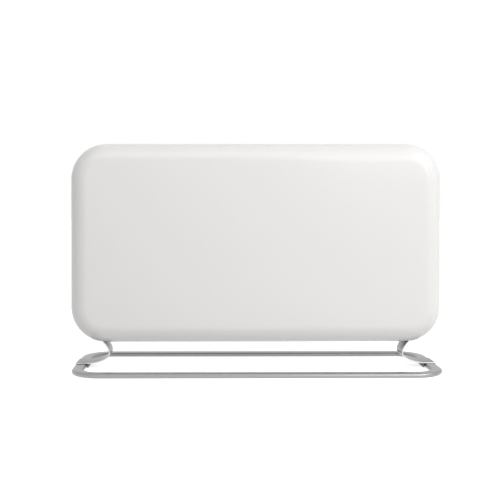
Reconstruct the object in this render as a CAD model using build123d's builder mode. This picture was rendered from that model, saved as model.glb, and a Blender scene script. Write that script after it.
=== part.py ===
from build123d import *
import os

# Free-standing electric panel heater: a pressed steel casing on two bent straps and a floor ring.
# Millimetres, +Z up, the front faces -Y, and the origin is on the floor under the casing's middle.

# Casing
body_width = 650
body_height = 348.5
body_depth = 80
body_bottom = 44.9
corner_r = 62.5
front_edge_r = 32
rear_edge_r = 11
sheet = 1.2
seam_y = 28
seam_gap = 0.5
lip_depth = 5
lip_clearance = 0.2
body_top = body_bottom + body_height
body_middle_z = body_bottom + body_height / 2
front_y = -body_depth / 2
rear_y = body_depth / 2
inner_front_y = front_y + sheet
inner_rear_y = rear_y - sheet

# Pressed louvres of the hot air outlet, high on the back
louvre_length = 92
louvre_height = 9
louvre_corner_cut = 3.5
louvre_rise = 3.4
louvre_draft = 38
louvre_columns = 5
louvre_rows = 5
louvre_pitch_x = 104
louvre_pitch_z = 13
outlet_middle_z = 330

# Plain slots of the cold air inlet, low on the back and in the bottom
inlet_slot_length = 92
inlet_slot_height = 4
inlet_rows = 3
inlet_pitch_z = 9
inlet_middle_z = 84
bottom_slot_length = 86
bottom_slot_width = 5
bottom_columns = 5
bottom_pitch_x = 98
bottom_pitch_y = 10

# Floor ring of flattened bar
ring_length = 632
ring_depth = 215.6
bar_width = 19.6
bar_height = 7.8
bar_corner_r = 3.8
ring_bend_r = 42.6
ring_side_x = (ring_length - bar_width) / 2
ring_end_y = (ring_depth - bar_width) / 2
dowel_r = 2.5
dowel_depth = 9
stud_y = 14
stud_r = 2
stud_hole_r = 2.2
stud_end_z = 1
nut_flats = 7
nut_height = 3
nut_pocket_r = 4.3
nut_pocket_depth = 4.5

# Bent steel strap that carries the casing on the ring
strap_width = 44
strap_thickness = 2.2
strap_slot_clearance = 0.8
strap_top_z = 124
strap_bend_z = 76
strap_waist = ((271.2, 51.5), (260.1, 37.1), (256.7, 27), (258.3, 21.6), (265.2, 16), (280.2, 10.7))
saddle_flat = 6
saddle_wrap_deg = 42
pad_half_length = 17
pad_width = 3.2
pad_foot_width = 1.8
pad_gap = 0.2

# Folded uprights inside the casing
web_x = 280.8
flange_width = 20
upright_bend_r = 2
upright_bottom = 88
upright_top = 354
web_slot_z = 267
web_slot_length = 110
web_slot_width = 26
web_inner_x = web_x - sheet / 2
web_outer_x = web_x + sheet / 2
shell_screw_x = 268
shell_screw_z = (104, 220, 342)
leg_screw_y = 14
leg_screw_z = 108
screw_r = 2
screw_head_r = 3.8
screw_head_height = 2.4
leg_screw_end = 2
shell_screw_end = 3

# Heating element and sheet guides
element_z = 150
element_core_r = 4.5
element_half_length = 240
element_reach = 290
fin_thickness = 1.8
fin_angles = (62, 118, 242, 298)
fin_length = 36
rib_places = ((17, 0), (25, 0), (33, 0))
rib_height = 11
side_fin_span = 34
bush_r = 7
bush_flange_r = 10
bush_flange = 5
bush_spigot = 6
tab_width = 6.3
tab_thickness = 0.8
terminal_length = 12
shield_sheet = 0.8
shield_y = -27
shield_bottom = 92
shield_top = 312
shield_half_width = 248
shield_joggle = 8
shield_end_gap = 4
deflector_foot_z = 318
deflector_r = 30
deflector_foot = 8
deflector_gap = 2
cutout_x = 80
cutout_z = 250
cutout_r = 8
cutout_height = 8
cutout_ear = 1
cutout_tab_pitch = 8
cutout_tab_length = 8

# Control panel let into the top of the front shell
panel_x = -23.6
panel_length = 86
panel_front_y = -24.5
panel_rear_y = 12
panel_gap = 0.5
panel_thickness = 2.7
panel_lip = 3
button_y = 0.5
button_offsets = {"power": -31.5, "minus": -19, "plus": 19, "mode": 31.5}
button_r = 4.5
button_clearance = 0.2
button_proud = 0.5
button_travel = 0.8
button_flange_r = 5.6
button_stem_r = 2
button_edge = 0.3
button_skirt = 1
button_flange = 1.5
button_flange_gap = 0.2
window_length = 25
window_width = 11
window_thickness = 1.5
window_corner_r = 1.5
window_opening_r = 1
window_ledge = 2
window_clearance = 0.1
tray_bottom_z = 370.9
tray_wall = 1.6
tray_corner_r = 3
post_inset_x = 14
post_inset_y = 12
post_r = 2.5
board_gap = 1
board_z = 378.9
board_thickness = 1.6
key_height = 3.5
key_size = 6
key_cap_r = 1.7
key_cap_height = 1
display_gap = 0.3

# Electrical parts at the two ends, outside the warm air
power_box_depth = 28
power_box_y = (-24, 26)
power_box_z = (190, 320)
box_wall = 1.6
box_corner_r = 3
box_post_inset = 14
box_post_r = 3
box_post_height = 5
relay_size = (15, 16, 28)
relay_place = (-8, 36)
capacitor_r = 6
capacitor_height = 14
capacitor_place = (12, 38)
core_size = (16, 26, 22)
winding_size = (12, 30, 14)
terminal_size = (10, 36, 12)
terminal_drop = 42
terminal_pitch = 8.5
terminal_screw_r = 2.2
terminal_entry = (5, 3.5, 5)
switch_x = 293
switch_z = 122
switch_length = 19.2
switch_width = 12.9
switch_bezel = 1
switch_bezel_height = 1.8
switch_bezel_r = 1
switch_bezel_draft = 12
switch_wall_z = 1.4
switch_wall_x = 1.2
switch_cavity_depth = 10
blade_pitch = 7
blade_length = 8
switch_depth = 15
rocker_tilt = 9
rocker_play = 0.5
rocker_pivot_depth = 2
rocker_outline = ((6.2, 7), (4.8, 0), (6.2, -7), (1.4, -6.6), (-2.8, -2.4), (-2.8, 2.4), (1.4, 6.6))
rocker_pin_r = 1.2
pin_clearance = 0.05
gland_z = 90
gland_r = 6
gland_bore_r = 3.8
gland_snap = (1.5, 4)
gland_outline = ((2.5, 0), (1.5, 2), (-1.4, 3.2), (-2.2, 2.4))
tilt_case_z = (168, 210)
tilt_case_half_y = 15
tilt_case_depth = 22
tilt_case_r = 2
tilt_pivot_z = 202
tilt_pin_r = 1
bob_r = 6
bob_drop = 22
bob_thickness = 11
bob_depth = 5
arm_width = 3
arm_eye_r = 3
arm_depth = 9
sensor_y = -26
sensor_z = 106
sensor_r = 2.5
sensor_length = 24
sensor_stand_off = 4.5
sensor_clip_size = (8, 12, 16)
sensor_clip_r = 2

os.makedirs("parts", exist_ok=True)


def casing_form(inset, from_y, to_y, rounded_end):
    """The casing's outer form moved inwards by inset, between two depths, with one end's edge rounded."""
    with BuildPart() as form:
        with BuildSketch(Plane.XZ.offset(-from_y)):
            with Locations((0, body_middle_z)):
                RectangleRounded(body_width - 2 * inset, body_height - 2 * inset, corner_r - inset)
        extrude(amount=from_y - to_y)
        if rounded_end == "front":
            fillet(form.faces().sort_by(Axis.Y)[0].edges(), front_edge_r - inset)
        if rounded_end == "rear":
            fillet(form.faces().sort_by(Axis.Y)[-1].edges(), rear_edge_r - inset)
    return form.part


def front_form(inset):
    """The front pan's outer form moved inwards by inset, open end at the seam."""
    return casing_form(inset, seam_y, front_y + inset, "front")


def strap_outline(width):
    """The side view of the right-hand strap, drawn as its centre line with a width."""
    tongue_x = web_inner_x - strap_thickness / 2
    plate_z = bar_height + strap_thickness / 2
    shoulder_x = ring_side_x + bar_width / 2 - bar_corner_r
    with BuildSketch(Plane.XZ) as outline:
        with BuildLine():
            tongue = Line((tongue_x, strap_top_z), (tongue_x, strap_bend_z))
            bend = Spline(
                tongue @ 1,
                *strap_waist,
                (ring_side_x - saddle_flat, plate_z),
                tangents=((0, -1), (1, 0)),
            )
            Line(bend @ 1, (shoulder_x, plate_z))
            CenterArc(
                (shoulder_x, bar_height - bar_corner_r),
                bar_corner_r + strap_thickness / 2,
                90,
                -saddle_wrap_deg,
            )
        trace(line_width=width)
    return outline.sketch


def louvre_form(inset):
    """A louvre's outer form moved inwards by inset: the lower half of a drafted, corner-cut block."""
    with BuildPart() as form:
        with BuildSketch(Plane.XZ.offset(inset - inner_rear_y)) as outline:
            Rectangle(louvre_length - 2 * inset, 2 * (louvre_height - inset))
            chamfer(outline.vertices(), louvre_corner_cut)
        extrude(amount=-(sheet + louvre_rise), taper=louvre_draft)
        split(bisect_by=Plane.XY, keep=Keep.BOTTOM)
    return form.part


# Front shell: one deep pressed pan that makes the front, the sides, the top and the bottom.
strap_cut = strap_outline(strap_thickness + 2 * strap_slot_clearance)
with BuildPart() as front_shell:
    add(front_form(0))
    add(front_form(sheet), mode=Mode.SUBTRACT)
    with BuildSketch(Plane.XZ.offset(-seam_y)):
        with Locations((0, body_middle_z)):
            Rectangle(body_width, body_height)
    extrude(amount=seam_gap, mode=Mode.SUBTRACT)
    with BuildSketch(Plane.XY.offset(body_top - corner_r)):
        with Locations((panel_x, (panel_front_y + panel_rear_y) / 2)):
            SlotOverall(panel_length, panel_rear_y - panel_front_y)
    extrude(amount=corner_r, mode=Mode.SUBTRACT)
    with BuildSketch(Plane.XY.offset(body_bottom - sheet)):
        with GridLocations(bottom_pitch_x, bottom_pitch_y, bottom_columns, 2):
            SlotOverall(bottom_slot_length, bottom_slot_width)
    extrude(amount=3 * sheet, mode=Mode.SUBTRACT)
    extrude(strap_cut, amount=strap_width / 2 + strap_slot_clearance, both=True, mode=Mode.SUBTRACT)
    extrude(
        mirror(strap_cut, about=Plane.YZ, mode=Mode.PRIVATE),
        amount=strap_width / 2 + strap_slot_clearance,
        both=True,
        mode=Mode.SUBTRACT,
    )
front_shell.part.label = "front_shell"
export_step(front_shell.part, "parts/front_shell.step")

# One louvre: the sheet is cut along its upper edge and pressed out into a hood that opens upwards.
louvre_hood = louvre_form(0)
louvre_mouth = louvre_form(sheet)

# Rear shell: a shallow pressed cover whose joggled lip fits inside the front shell.
lip_inset = sheet + lip_clearance
louvre_places = [
    (
        (column - (louvre_columns - 1) / 2) * louvre_pitch_x,
        0,
        outlet_middle_z + (row - (louvre_rows - 1) / 2) * louvre_pitch_z,
    )
    for row in range(louvre_rows)
    for column in range(louvre_columns)
]
with BuildPart() as rear_shell:
    add(casing_form(0, rear_y, seam_y, "rear"))
    add(casing_form(sheet, inner_rear_y, seam_y, "rear"), mode=Mode.SUBTRACT)
    add(casing_form(0, seam_y + sheet, seam_y, None))
    add(casing_form(lip_inset, seam_y, seam_y - lip_depth, None))
    add(casing_form(lip_inset + sheet, seam_y + sheet, seam_y - lip_depth, None), mode=Mode.SUBTRACT)
    with Locations(*louvre_places):
        add(louvre_hood)
    with Locations(*louvre_places):
        add(louvre_mouth, mode=Mode.SUBTRACT)
    with BuildSketch(Plane.XZ.offset(-inner_rear_y)):
        with Locations((0, inlet_middle_z)):
            with GridLocations(louvre_pitch_x, inlet_pitch_z, louvre_columns, inlet_rows):
                SlotOverall(inlet_slot_length, inlet_slot_height)
        with GridLocations(2 * shell_screw_x, 0, 2, 1):
            with Locations(*[(0, z) for z in shell_screw_z]):
                Circle(screw_r)
        with Locations((switch_x, switch_z)):
            Rectangle(switch_width, switch_length)
        with Locations((switch_x, gland_z)):
            Circle(gland_r)
    extrude(amount=-sheet, mode=Mode.SUBTRACT)
rear_shell.part.label = "rear_shell"
export_step(rear_shell.part, "parts/rear_shell.step")

# Uprights: two folded channels welded inside the front shell, which carry everything else.
with BuildPart() as right_upright:
    with BuildSketch(Plane.XY.offset(upright_bottom)):
        with BuildLine():
            FilletPolyline(
                (web_x - flange_width, inner_front_y + sheet / 2),
                (web_x, inner_front_y + sheet / 2),
                (web_x, inner_rear_y - sheet / 2),
                (web_x - flange_width, inner_rear_y - sheet / 2),
                radius=upright_bend_r,
            )
        trace(line_width=sheet)
    extrude(amount=upright_top - upright_bottom)
    with BuildSketch(Plane.YZ.offset(web_inner_x)):
        with Locations((-leg_screw_y, leg_screw_z), (leg_screw_y, leg_screw_z)):
            Circle(screw_r)
        with Locations((0, element_z)):
            Circle(bush_r)
        with Locations((0, web_slot_z)):
            SlotOverall(web_slot_length, web_slot_width, rotation=90)
    extrude(amount=sheet, mode=Mode.SUBTRACT)
    with BuildSketch(Plane.XZ.offset(-inner_rear_y)):
        with Locations(*[(shell_screw_x, z) for z in shell_screw_z]):
            Circle(screw_r)
    extrude(amount=sheet, mode=Mode.SUBTRACT)
with BuildPart() as left_upright:
    mirror(right_upright.part, about=Plane.YZ)
right_upright.part.label = "right_upright"
export_step(right_upright.part, "parts/right_upright.step")
left_upright.part.label = "left_upright"
export_step(left_upright.part, "parts/left_upright.step")

# Legs: one strap each side, bent to a waist, then laid over the ring's side bar as a saddle.
with BuildPart() as right_leg:
    extrude(strap_outline(strap_thickness), amount=strap_width / 2, both=True)
    with BuildSketch(Plane.YZ.offset(web_inner_x - strap_thickness)):
        with Locations((-leg_screw_y, leg_screw_z), (leg_screw_y, leg_screw_z)):
            Circle(screw_r)
    extrude(amount=strap_thickness, mode=Mode.SUBTRACT)
    with BuildSketch(Plane.XY.offset(bar_height + strap_thickness / 2)):
        with Locations((ring_side_x, -stud_y), (ring_side_x, stud_y)):
            Circle(stud_r)
    extrude(amount=stud_end_z - bar_height - strap_thickness / 2)
with BuildPart() as left_leg:
    mirror(right_leg.part, about=Plane.YZ)
right_leg.part.label = "right_leg"
export_step(right_leg.part, "parts/right_leg.step")
left_leg.part.label = "left_leg"
export_step(left_leg.part, "parts/left_leg.step")

# Leg screws: two each side, through the strap's tongue into the upright.
with BuildPart() as leg_screws:
    for side in (-1, 1):
        head_plane = Plane.YZ.offset(side * (web_inner_x - strap_thickness))
        with BuildSketch(head_plane):
            with Locations((-leg_screw_y, leg_screw_z), (leg_screw_y, leg_screw_z)):
                Circle(screw_head_r)
        extrude(amount=-side * screw_head_height)
        with BuildSketch(head_plane):
            with Locations((-leg_screw_y, leg_screw_z), (leg_screw_y, leg_screw_z)):
                Circle(screw_r)
        extrude(amount=side * (strap_thickness + sheet + leg_screw_end))
leg_screws.part.label = "leg_screws"
export_step(leg_screws.part, "parts/leg_screws.step")

# Floor ring: two U-shaped halves of flattened bar, butted together on dowels under the saddles.
with BuildPart() as ring_front:
    with BuildLine(Plane.XY.offset(bar_height / 2)) as ring_path:
        FilletPolyline(
            (-ring_side_x, 0),
            (-ring_side_x, -ring_end_y),
            (ring_side_x, -ring_end_y),
            (ring_side_x, 0),
            radius=ring_bend_r,
        )
    with BuildSketch(Plane(origin=(-ring_side_x, 0, bar_height / 2), x_dir=(1, 0, 0), z_dir=(0, -1, 0))):
        RectangleRounded(bar_width, bar_height, bar_corner_r)
    sweep(path=ring_path.line)
    with BuildSketch(Plane.XZ):
        with Locations((-ring_side_x, bar_height / 2), (ring_side_x, bar_height / 2)):
            Circle(dowel_r)
    extrude(amount=dowel_depth, mode=Mode.SUBTRACT)
    with BuildSketch(Plane.XY):
        with Locations((-ring_side_x, -stud_y), (ring_side_x, -stud_y)):
            Circle(stud_hole_r)
    extrude(amount=bar_height, mode=Mode.SUBTRACT)
    with BuildSketch(Plane.XY):
        with Locations((-ring_side_x, -stud_y), (ring_side_x, -stud_y)):
            Circle(nut_pocket_r)
    extrude(amount=nut_pocket_depth, mode=Mode.SUBTRACT)
with BuildPart() as ring_rear:
    mirror(ring_front.part, about=Plane.XZ)
ring_front.part.label = "ring_front"
export_step(ring_front.part, "parts/ring_front.step")
ring_rear.part.label = "ring_rear"
export_step(ring_rear.part, "parts/ring_rear.step")

# Ring dowels: one round pin across each butt joint.
with BuildPart() as ring_dowels:
    with BuildSketch(Plane.XZ):
        with Locations((-ring_side_x, bar_height / 2), (ring_side_x, bar_height / 2)):
            Circle(dowel_r)
    extrude(amount=dowel_depth, both=True)
ring_dowels.part.label = "ring_dowels"
export_step(ring_dowels.part, "parts/ring_dowels.step")

# Ring nuts: run up the studs from below, sunk in the bar.
with BuildPart() as ring_nuts:
    with BuildSketch(Plane.XY.offset(nut_pocket_depth - nut_height)):
        with GridLocations(2 * ring_side_x, 2 * stud_y, 2, 2):
            RegularPolygon(nut_flats / 2, 6, major_radius=False)
            Circle(stud_r, mode=Mode.SUBTRACT)
    extrude(amount=nut_height)
ring_nuts.part.label = "ring_nuts"
export_step(ring_nuts.part, "parts/ring_nuts.step")

# Foot pads: rubber strips under the straps, against the bar's inner side.
with BuildPart() as right_foot_pad:
    bar_inner_x = ring_side_x - bar_width / 2
    with BuildSketch(Plane.XZ):
        with BuildLine():
            Polyline(
                (bar_inner_x - pad_gap, 0),
                (bar_inner_x - pad_gap, bar_height - pad_gap),
                (bar_inner_x - pad_gap - pad_width, bar_height - pad_gap),
                (bar_inner_x - pad_gap - pad_foot_width, 0),
                close=True,
            )
        make_face()
    extrude(amount=pad_half_length, both=True)
with BuildPart() as left_foot_pad:
    mirror(right_foot_pad.part, about=Plane.YZ)
right_foot_pad.part.label = "right_foot_pad"
export_step(right_foot_pad.part, "parts/right_foot_pad.step")
left_foot_pad.part.label = "left_foot_pad"
export_step(left_foot_pad.part, "parts/left_foot_pad.step")

# Shell screws: pan heads outside the rear shell, through it into the uprights' rear flanges.
with BuildPart() as shell_screws:
    with BuildSketch(Plane.XZ.offset(-rear_y)):
        with GridLocations(2 * shell_screw_x, 0, 2, 1):
            with Locations(*[(0, z) for z in shell_screw_z]):
                Circle(screw_head_r)
    extrude(amount=-screw_head_height)
    with BuildSketch(Plane.XZ.offset(-rear_y)):
        with GridLocations(2 * shell_screw_x, 0, 2, 1):
            with Locations(*[(0, z) for z in shell_screw_z]):
                Circle(screw_r)
    extrude(amount=2 * sheet + shell_screw_end)
shell_screws.part.label = "shell_screws"
export_step(shell_screws.part, "parts/shell_screws.step")

# Heat shield: a sheet behind the front shell, joggled at both ends onto the uprights' front flanges.
flange_face_y = inner_front_y + sheet
with BuildPart() as heat_shield:
    with BuildSketch(Plane.XY.offset(shield_bottom)):
        with BuildLine():
            Polyline(
                (-web_x + shield_end_gap, flange_face_y + shield_sheet / 2),
                (-shield_half_width - shield_joggle, flange_face_y + shield_sheet / 2),
                (-shield_half_width, shield_y),
                (shield_half_width, shield_y),
                (shield_half_width + shield_joggle, flange_face_y + shield_sheet / 2),
                (web_x - shield_end_gap, flange_face_y + shield_sheet / 2),
            )
        trace(line_width=shield_sheet)
    extrude(amount=shield_top - shield_bottom)
heat_shield.part.label = "heat_shield"
export_step(heat_shield.part, "parts/heat_shield.step")

# Air deflector: a curved sheet that turns the rising warm air out through the louvres.
deflector_z = deflector_foot_z + deflector_foot + deflector_r
with BuildPart() as air_deflector:
    with BuildSketch(Plane.YZ.offset(-web_inner_x)):
        with BuildLine():
            foot = Line((shield_y, deflector_foot_z), (shield_y, deflector_foot_z + deflector_foot))
            turn = RadiusArc(foot @ 1, (shield_y + deflector_r, deflector_z), deflector_r)
            Line(turn @ 1, (inner_rear_y - deflector_gap, deflector_z))
        trace(line_width=shield_sheet)
    extrude(amount=2 * web_inner_x)
air_deflector.part.label = "air_deflector"
export_step(air_deflector.part, "parts/air_deflector.step")

# Heating element: an aluminium fin section round a sheathed core, its ends held in the uprights.
with BuildPart() as heating_element:
    with BuildSketch(Plane.YZ.offset(-element_half_length)):
        with Locations((0, element_z)):
            Circle(element_core_r + fin_thickness)
        for angle in fin_angles:
            with Locations(Location((0, element_z), angle)):
                Rectangle(fin_length, fin_thickness, align=(Align.MIN, Align.CENTER))
            with Locations(Location((0, element_z), angle)):
                with Locations(*rib_places):
                    Rectangle(fin_thickness, rib_height)
        with Locations((0, element_z)):
            Rectangle(side_fin_span, fin_thickness)
    extrude(amount=2 * element_half_length)
    with BuildSketch(Plane.YZ.offset(-element_reach)):
        with Locations((0, element_z)):
            Circle(element_core_r)
    extrude(amount=2 * element_reach)
heating_element.part.label = "heating_element"
export_step(heating_element.part, "parts/heating_element.step")

# Element bushes: flanged ceramic sleeves in the uprights that carry the core.
with BuildPart() as right_element_bush:
    with BuildSketch(Plane.YZ.offset(web_inner_x)):
        with Locations((0, element_z)):
            Circle(bush_flange_r)
    extrude(amount=-bush_flange)
    with BuildSketch(Plane.YZ.offset(web_inner_x)):
        with Locations((0, element_z)):
            Circle(bush_r)
    extrude(amount=bush_spigot)
    with BuildSketch(Plane.YZ.offset(web_inner_x - bush_flange)):
        with Locations((0, element_z)):
            Circle(element_core_r)
    extrude(amount=bush_flange + bush_spigot, mode=Mode.SUBTRACT)
with BuildPart() as left_element_bush:
    mirror(right_element_bush.part, about=Plane.YZ)
right_element_bush.part.label = "right_element_bush"
export_step(right_element_bush.part, "parts/right_element_bush.step")
left_element_bush.part.label = "left_element_bush"
export_step(left_element_bush.part, "parts/left_element_bush.step")

# Element terminals: a flat tab on each end of the core.
with BuildPart() as element_terminals:
    for side in (-1, 1):
        with BuildSketch(Plane.YZ.offset(side * element_reach)):
            with Locations((0, element_z)):
                Rectangle(tab_width, tab_thickness)
        extrude(amount=side * terminal_length)
element_terminals.part.label = "element_terminals"
export_step(element_terminals.part, "parts/element_terminals.step")

# Thermal cut-out: a round snap-disc switch on the rear of the heat shield.
with BuildPart() as thermal_cutout:
    with BuildSketch(Plane.XZ.offset(-(shield_y + shield_sheet / 2))):
        with Locations((cutout_x, cutout_z)):
            Circle(cutout_r)
            SlotOverall(4 * cutout_r, cutout_r)
    extrude(amount=-cutout_ear)
    with BuildSketch(Plane.XZ.offset(-(shield_y + shield_sheet / 2))):
        with Locations((cutout_x, cutout_z)):
            Circle(cutout_r)
    extrude(amount=-cutout_height)
    with BuildSketch(Plane.XZ.offset(-(shield_y + shield_sheet / 2 + cutout_height))):
        with Locations((cutout_x, cutout_z)):
            with GridLocations(cutout_tab_pitch, 0, 2, 1):
                Rectangle(tab_thickness, tab_width)
    extrude(amount=-cutout_tab_length)
thermal_cutout.part.label = "thermal_cutout"
export_step(thermal_cutout.part, "parts/thermal_cutout.step")

# Control panel: a plastic insert that carries on the curve of the front shell, with a lip beneath it.
panel_middle_y = (panel_front_y + panel_rear_y) / 2
panel_width = panel_rear_y - panel_front_y
window_x = panel_x
window_opening_length = window_length - 2 * window_ledge
window_opening_width = window_width - 2 * window_ledge
with BuildPart() as control_panel:
    with BuildSketch(Plane.XY.offset(body_top - corner_r)):
        with Locations((panel_x, panel_middle_y)):
            SlotOverall(panel_length + 2 * panel_lip, panel_width + 2 * panel_lip)
    extrude(amount=corner_r)
    add(front_form(sheet), mode=Mode.INTERSECT)
    with BuildSketch(Plane.XY.offset(body_top - corner_r)):
        with Locations((panel_x, panel_middle_y)):
            SlotOverall(panel_length - 2 * panel_gap, panel_width - 2 * panel_gap)
    extrude(amount=corner_r + sheet)
    add(front_form(0), mode=Mode.INTERSECT)
    add(front_form(panel_thickness), mode=Mode.SUBTRACT)
    with BuildSketch(Plane.XY.offset(body_top)):
        with Locations(*[(panel_x + x, button_y) for x in button_offsets.values()]):
            Circle(button_r + button_clearance)
        with Locations((window_x, button_y)):
            RectangleRounded(window_opening_length, window_opening_width, window_opening_r)
    extrude(amount=-2 * panel_thickness, mode=Mode.SUBTRACT)
    with BuildSketch(Plane.XY.offset(body_top)):
        with Locations((window_x, button_y)):
            RectangleRounded(window_length, window_width, window_corner_r)
    extrude(amount=-window_thickness, mode=Mode.SUBTRACT)
control_panel.part.label = "control_panel"
export_step(control_panel.part, "parts/control_panel.step")

# Display window: a dark glazed plate seated on a ledge in the control panel.
window_glass_length = window_length - 2 * window_clearance
window_glass_width = window_width - 2 * window_clearance
with BuildPart() as display_window:
    with BuildSketch(Plane.XY.offset(body_top)):
        with Locations((window_x, button_y)):
            RectangleRounded(window_glass_length, window_glass_width, window_corner_r - window_clearance)
    extrude(amount=-window_thickness)
display_window.part.label = "display_window"
export_step(display_window.part, "parts/display_window.step")

# Push buttons: a cap, a hidden flange that keeps it in, and a stem down to its key.
panel_under_z = body_top - panel_thickness
key_top_z = board_z + board_thickness + key_height
for button_name, offset_x in button_offsets.items():
    with BuildPart() as button:
        with BuildSketch(Plane.XY.offset(body_top + button_proud)):
            with Locations((panel_x + offset_x, button_y)):
                Circle(button_r)
        extrude(amount=-(button_proud + panel_thickness + button_skirt))
        chamfer(button.faces().sort_by(Axis.Z)[-1].edges(), button_edge)
        with BuildSketch(Plane.XY.offset(panel_under_z - button_flange_gap)):
            with Locations((panel_x + offset_x, button_y)):
                Circle(button_flange_r)
        extrude(amount=-button_flange)
        with BuildSketch(Plane.XY.offset(panel_under_z - button_skirt)):
            with Locations((panel_x + offset_x, button_y)):
                Circle(button_stem_r)
        extrude(amount=key_top_z + button_travel + button_flange_gap - (panel_under_z - button_skirt))
    button.part.label = f"{button_name}_button"
    export_step(button.part, f"parts/{button_name}_button.step")

# Control tray: a plastic box under the panel, its rim following the panel's inner curve.
tray_length = 78
tray_front_y = -20
tray_rear_y = 9
tray_middle_y = (tray_front_y + tray_rear_y) / 2
tray_width = tray_rear_y - tray_front_y
with BuildPart() as control_tray:
    with BuildSketch(Plane.XY.offset(tray_bottom_z)):
        with Locations((panel_x, tray_middle_y)):
            RectangleRounded(tray_length, tray_width, tray_corner_r)
    extrude(amount=body_top - tray_bottom_z)
    add(front_form(panel_thickness), mode=Mode.INTERSECT)
    with BuildSketch(Plane.XY.offset(tray_bottom_z + tray_wall)):
        with Locations((panel_x, tray_middle_y)):
            RectangleRounded(tray_length - 2 * tray_wall, tray_width - 2 * tray_wall, tray_corner_r - tray_wall)
    extrude(amount=body_top - tray_bottom_z, mode=Mode.SUBTRACT)
    with BuildSketch(Plane.XY.offset(tray_bottom_z + tray_wall)):
        with Locations((panel_x, tray_middle_y)):
            with GridLocations(tray_length - post_inset_x, tray_width - post_inset_y, 2, 2):
                Circle(post_r)
    extrude(amount=board_z - tray_bottom_z - tray_wall)
control_tray.part.label = "control_tray"
export_step(control_tray.part, "parts/control_tray.step")

# Control board with its keys, and the display block behind the window.
with BuildPart() as control_board:
    with BuildSketch(Plane.XY.offset(board_z)):
        with Locations((panel_x, tray_middle_y)):
            Rectangle(tray_length - 2 * tray_wall - board_gap, tray_width - 2 * tray_wall - board_gap)
    extrude(amount=board_thickness)
    with BuildSketch(Plane.XY.offset(board_z + board_thickness)):
        with Locations(*[(panel_x + x, button_y) for x in button_offsets.values()]):
            Rectangle(key_size, key_size)
    extrude(amount=key_height - key_cap_height)
    with BuildSketch(Plane.XY.offset(board_z + board_thickness)):
        with Locations(*[(panel_x + x, button_y) for x in button_offsets.values()]):
            Circle(key_cap_r)
    extrude(amount=key_height)
control_board.part.label = "control_board"
export_step(control_board.part, "parts/control_board.step")
with BuildPart() as display_block:
    with BuildSketch(Plane.XY.offset(board_z + board_thickness)):
        with Locations((window_x, button_y)):
            Rectangle(window_length - board_gap, window_width)
    extrude(amount=panel_under_z - board_z - board_thickness - display_gap)
display_block.part.label = "display_block"
export_step(display_block.part, "parts/display_block.step")

# Power box: an open plastic tray on the right upright's outer side, with the power board on posts.
box_middle_y = sum(power_box_y) / 2
box_middle_z = sum(power_box_z) / 2
box_size_y = power_box_y[1] - power_box_y[0]
box_size_z = power_box_z[1] - power_box_z[0]
power_board_x = web_outer_x + box_wall + box_post_height
with BuildPart() as power_box:
    with BuildSketch(Plane.YZ.offset(web_outer_x)):
        with Locations((box_middle_y, box_middle_z)):
            RectangleRounded(box_size_y, box_size_z, box_corner_r)
    extrude(amount=power_box_depth)
    with BuildSketch(Plane.YZ.offset(web_outer_x + box_wall)):
        with Locations((box_middle_y, box_middle_z)):
            RectangleRounded(box_size_y - 2 * box_wall, box_size_z - 2 * box_wall, box_corner_r - box_wall)
    extrude(amount=power_box_depth, mode=Mode.SUBTRACT)
    with BuildSketch(Plane.YZ.offset(web_outer_x + box_wall)):
        with Locations((box_middle_y, box_middle_z)):
            with GridLocations(box_size_y - box_post_inset, box_size_z - box_post_inset, 2, 2):
                Circle(box_post_r)
    extrude(amount=box_post_height)
power_box.part.label = "power_box"
export_step(power_box.part, "parts/power_box.step")
with BuildPart() as power_board:
    with BuildSketch(Plane.YZ.offset(power_board_x)):
        with Locations((box_middle_y, box_middle_z)):
            Rectangle(box_size_y - 2 * box_wall - board_gap, box_size_z - 2 * box_wall - board_gap)
    extrude(amount=board_thickness)
power_board.part.label = "power_board"
export_step(power_board.part, "parts/power_board.step")
board_face_x = power_board_x + board_thickness
with BuildPart() as relay:
    with BuildSketch(Plane.YZ.offset(board_face_x)):
        with Locations((box_middle_y + relay_place[0], box_middle_z + relay_place[1])):
            Rectangle(relay_size[1], relay_size[2])
    extrude(amount=relay_size[0])
relay.part.label = "relay"
export_step(relay.part, "parts/relay.step")
with BuildPart() as smoothing_capacitor:
    with BuildSketch(Plane.YZ.offset(board_face_x)):
        with Locations((box_middle_y + capacitor_place[0], box_middle_z + capacitor_place[1])):
            Circle(capacitor_r)
    extrude(amount=capacitor_height)
smoothing_capacitor.part.label = "smoothing_capacitor"
export_step(smoothing_capacitor.part, "parts/smoothing_capacitor.step")
with BuildPart() as transformer:
    with BuildSketch(Plane.YZ.offset(board_face_x)):
        with Locations((box_middle_y, box_middle_z)):
            Rectangle(core_size[1], core_size[2])
    extrude(amount=core_size[0])
    with BuildSketch(Plane.YZ.offset(board_face_x + (core_size[0] - winding_size[0]) / 2)):
        with Locations((box_middle_y, box_middle_z)):
            Rectangle(winding_size[1], winding_size[2])
    extrude(amount=winding_size[0])
transformer.part.label = "transformer"
export_step(transformer.part, "parts/transformer.step")
terminal_z = box_middle_z - terminal_drop
with BuildPart() as terminal_block:
    with BuildSketch(Plane.YZ.offset(board_face_x)):
        with Locations((box_middle_y, terminal_z)):
            Rectangle(terminal_size[1], terminal_size[2])
    extrude(amount=terminal_size[0])
    with BuildSketch(Plane.YZ.offset(board_face_x + terminal_size[0])):
        with Locations((box_middle_y, terminal_z)):
            with GridLocations(terminal_pitch, 0, 4, 1):
                Circle(terminal_screw_r)
    extrude(amount=-terminal_size[0] / 2, mode=Mode.SUBTRACT)
    with BuildSketch(Plane.XY.offset(terminal_z - terminal_size[2] / 2)):
        with Locations((board_face_x + terminal_entry[1], box_middle_y)):
            with GridLocations(0, terminal_pitch, 1, 4):
                Rectangle(terminal_entry[1], terminal_entry[2])
    extrude(amount=terminal_entry[0], mode=Mode.SUBTRACT)
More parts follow.
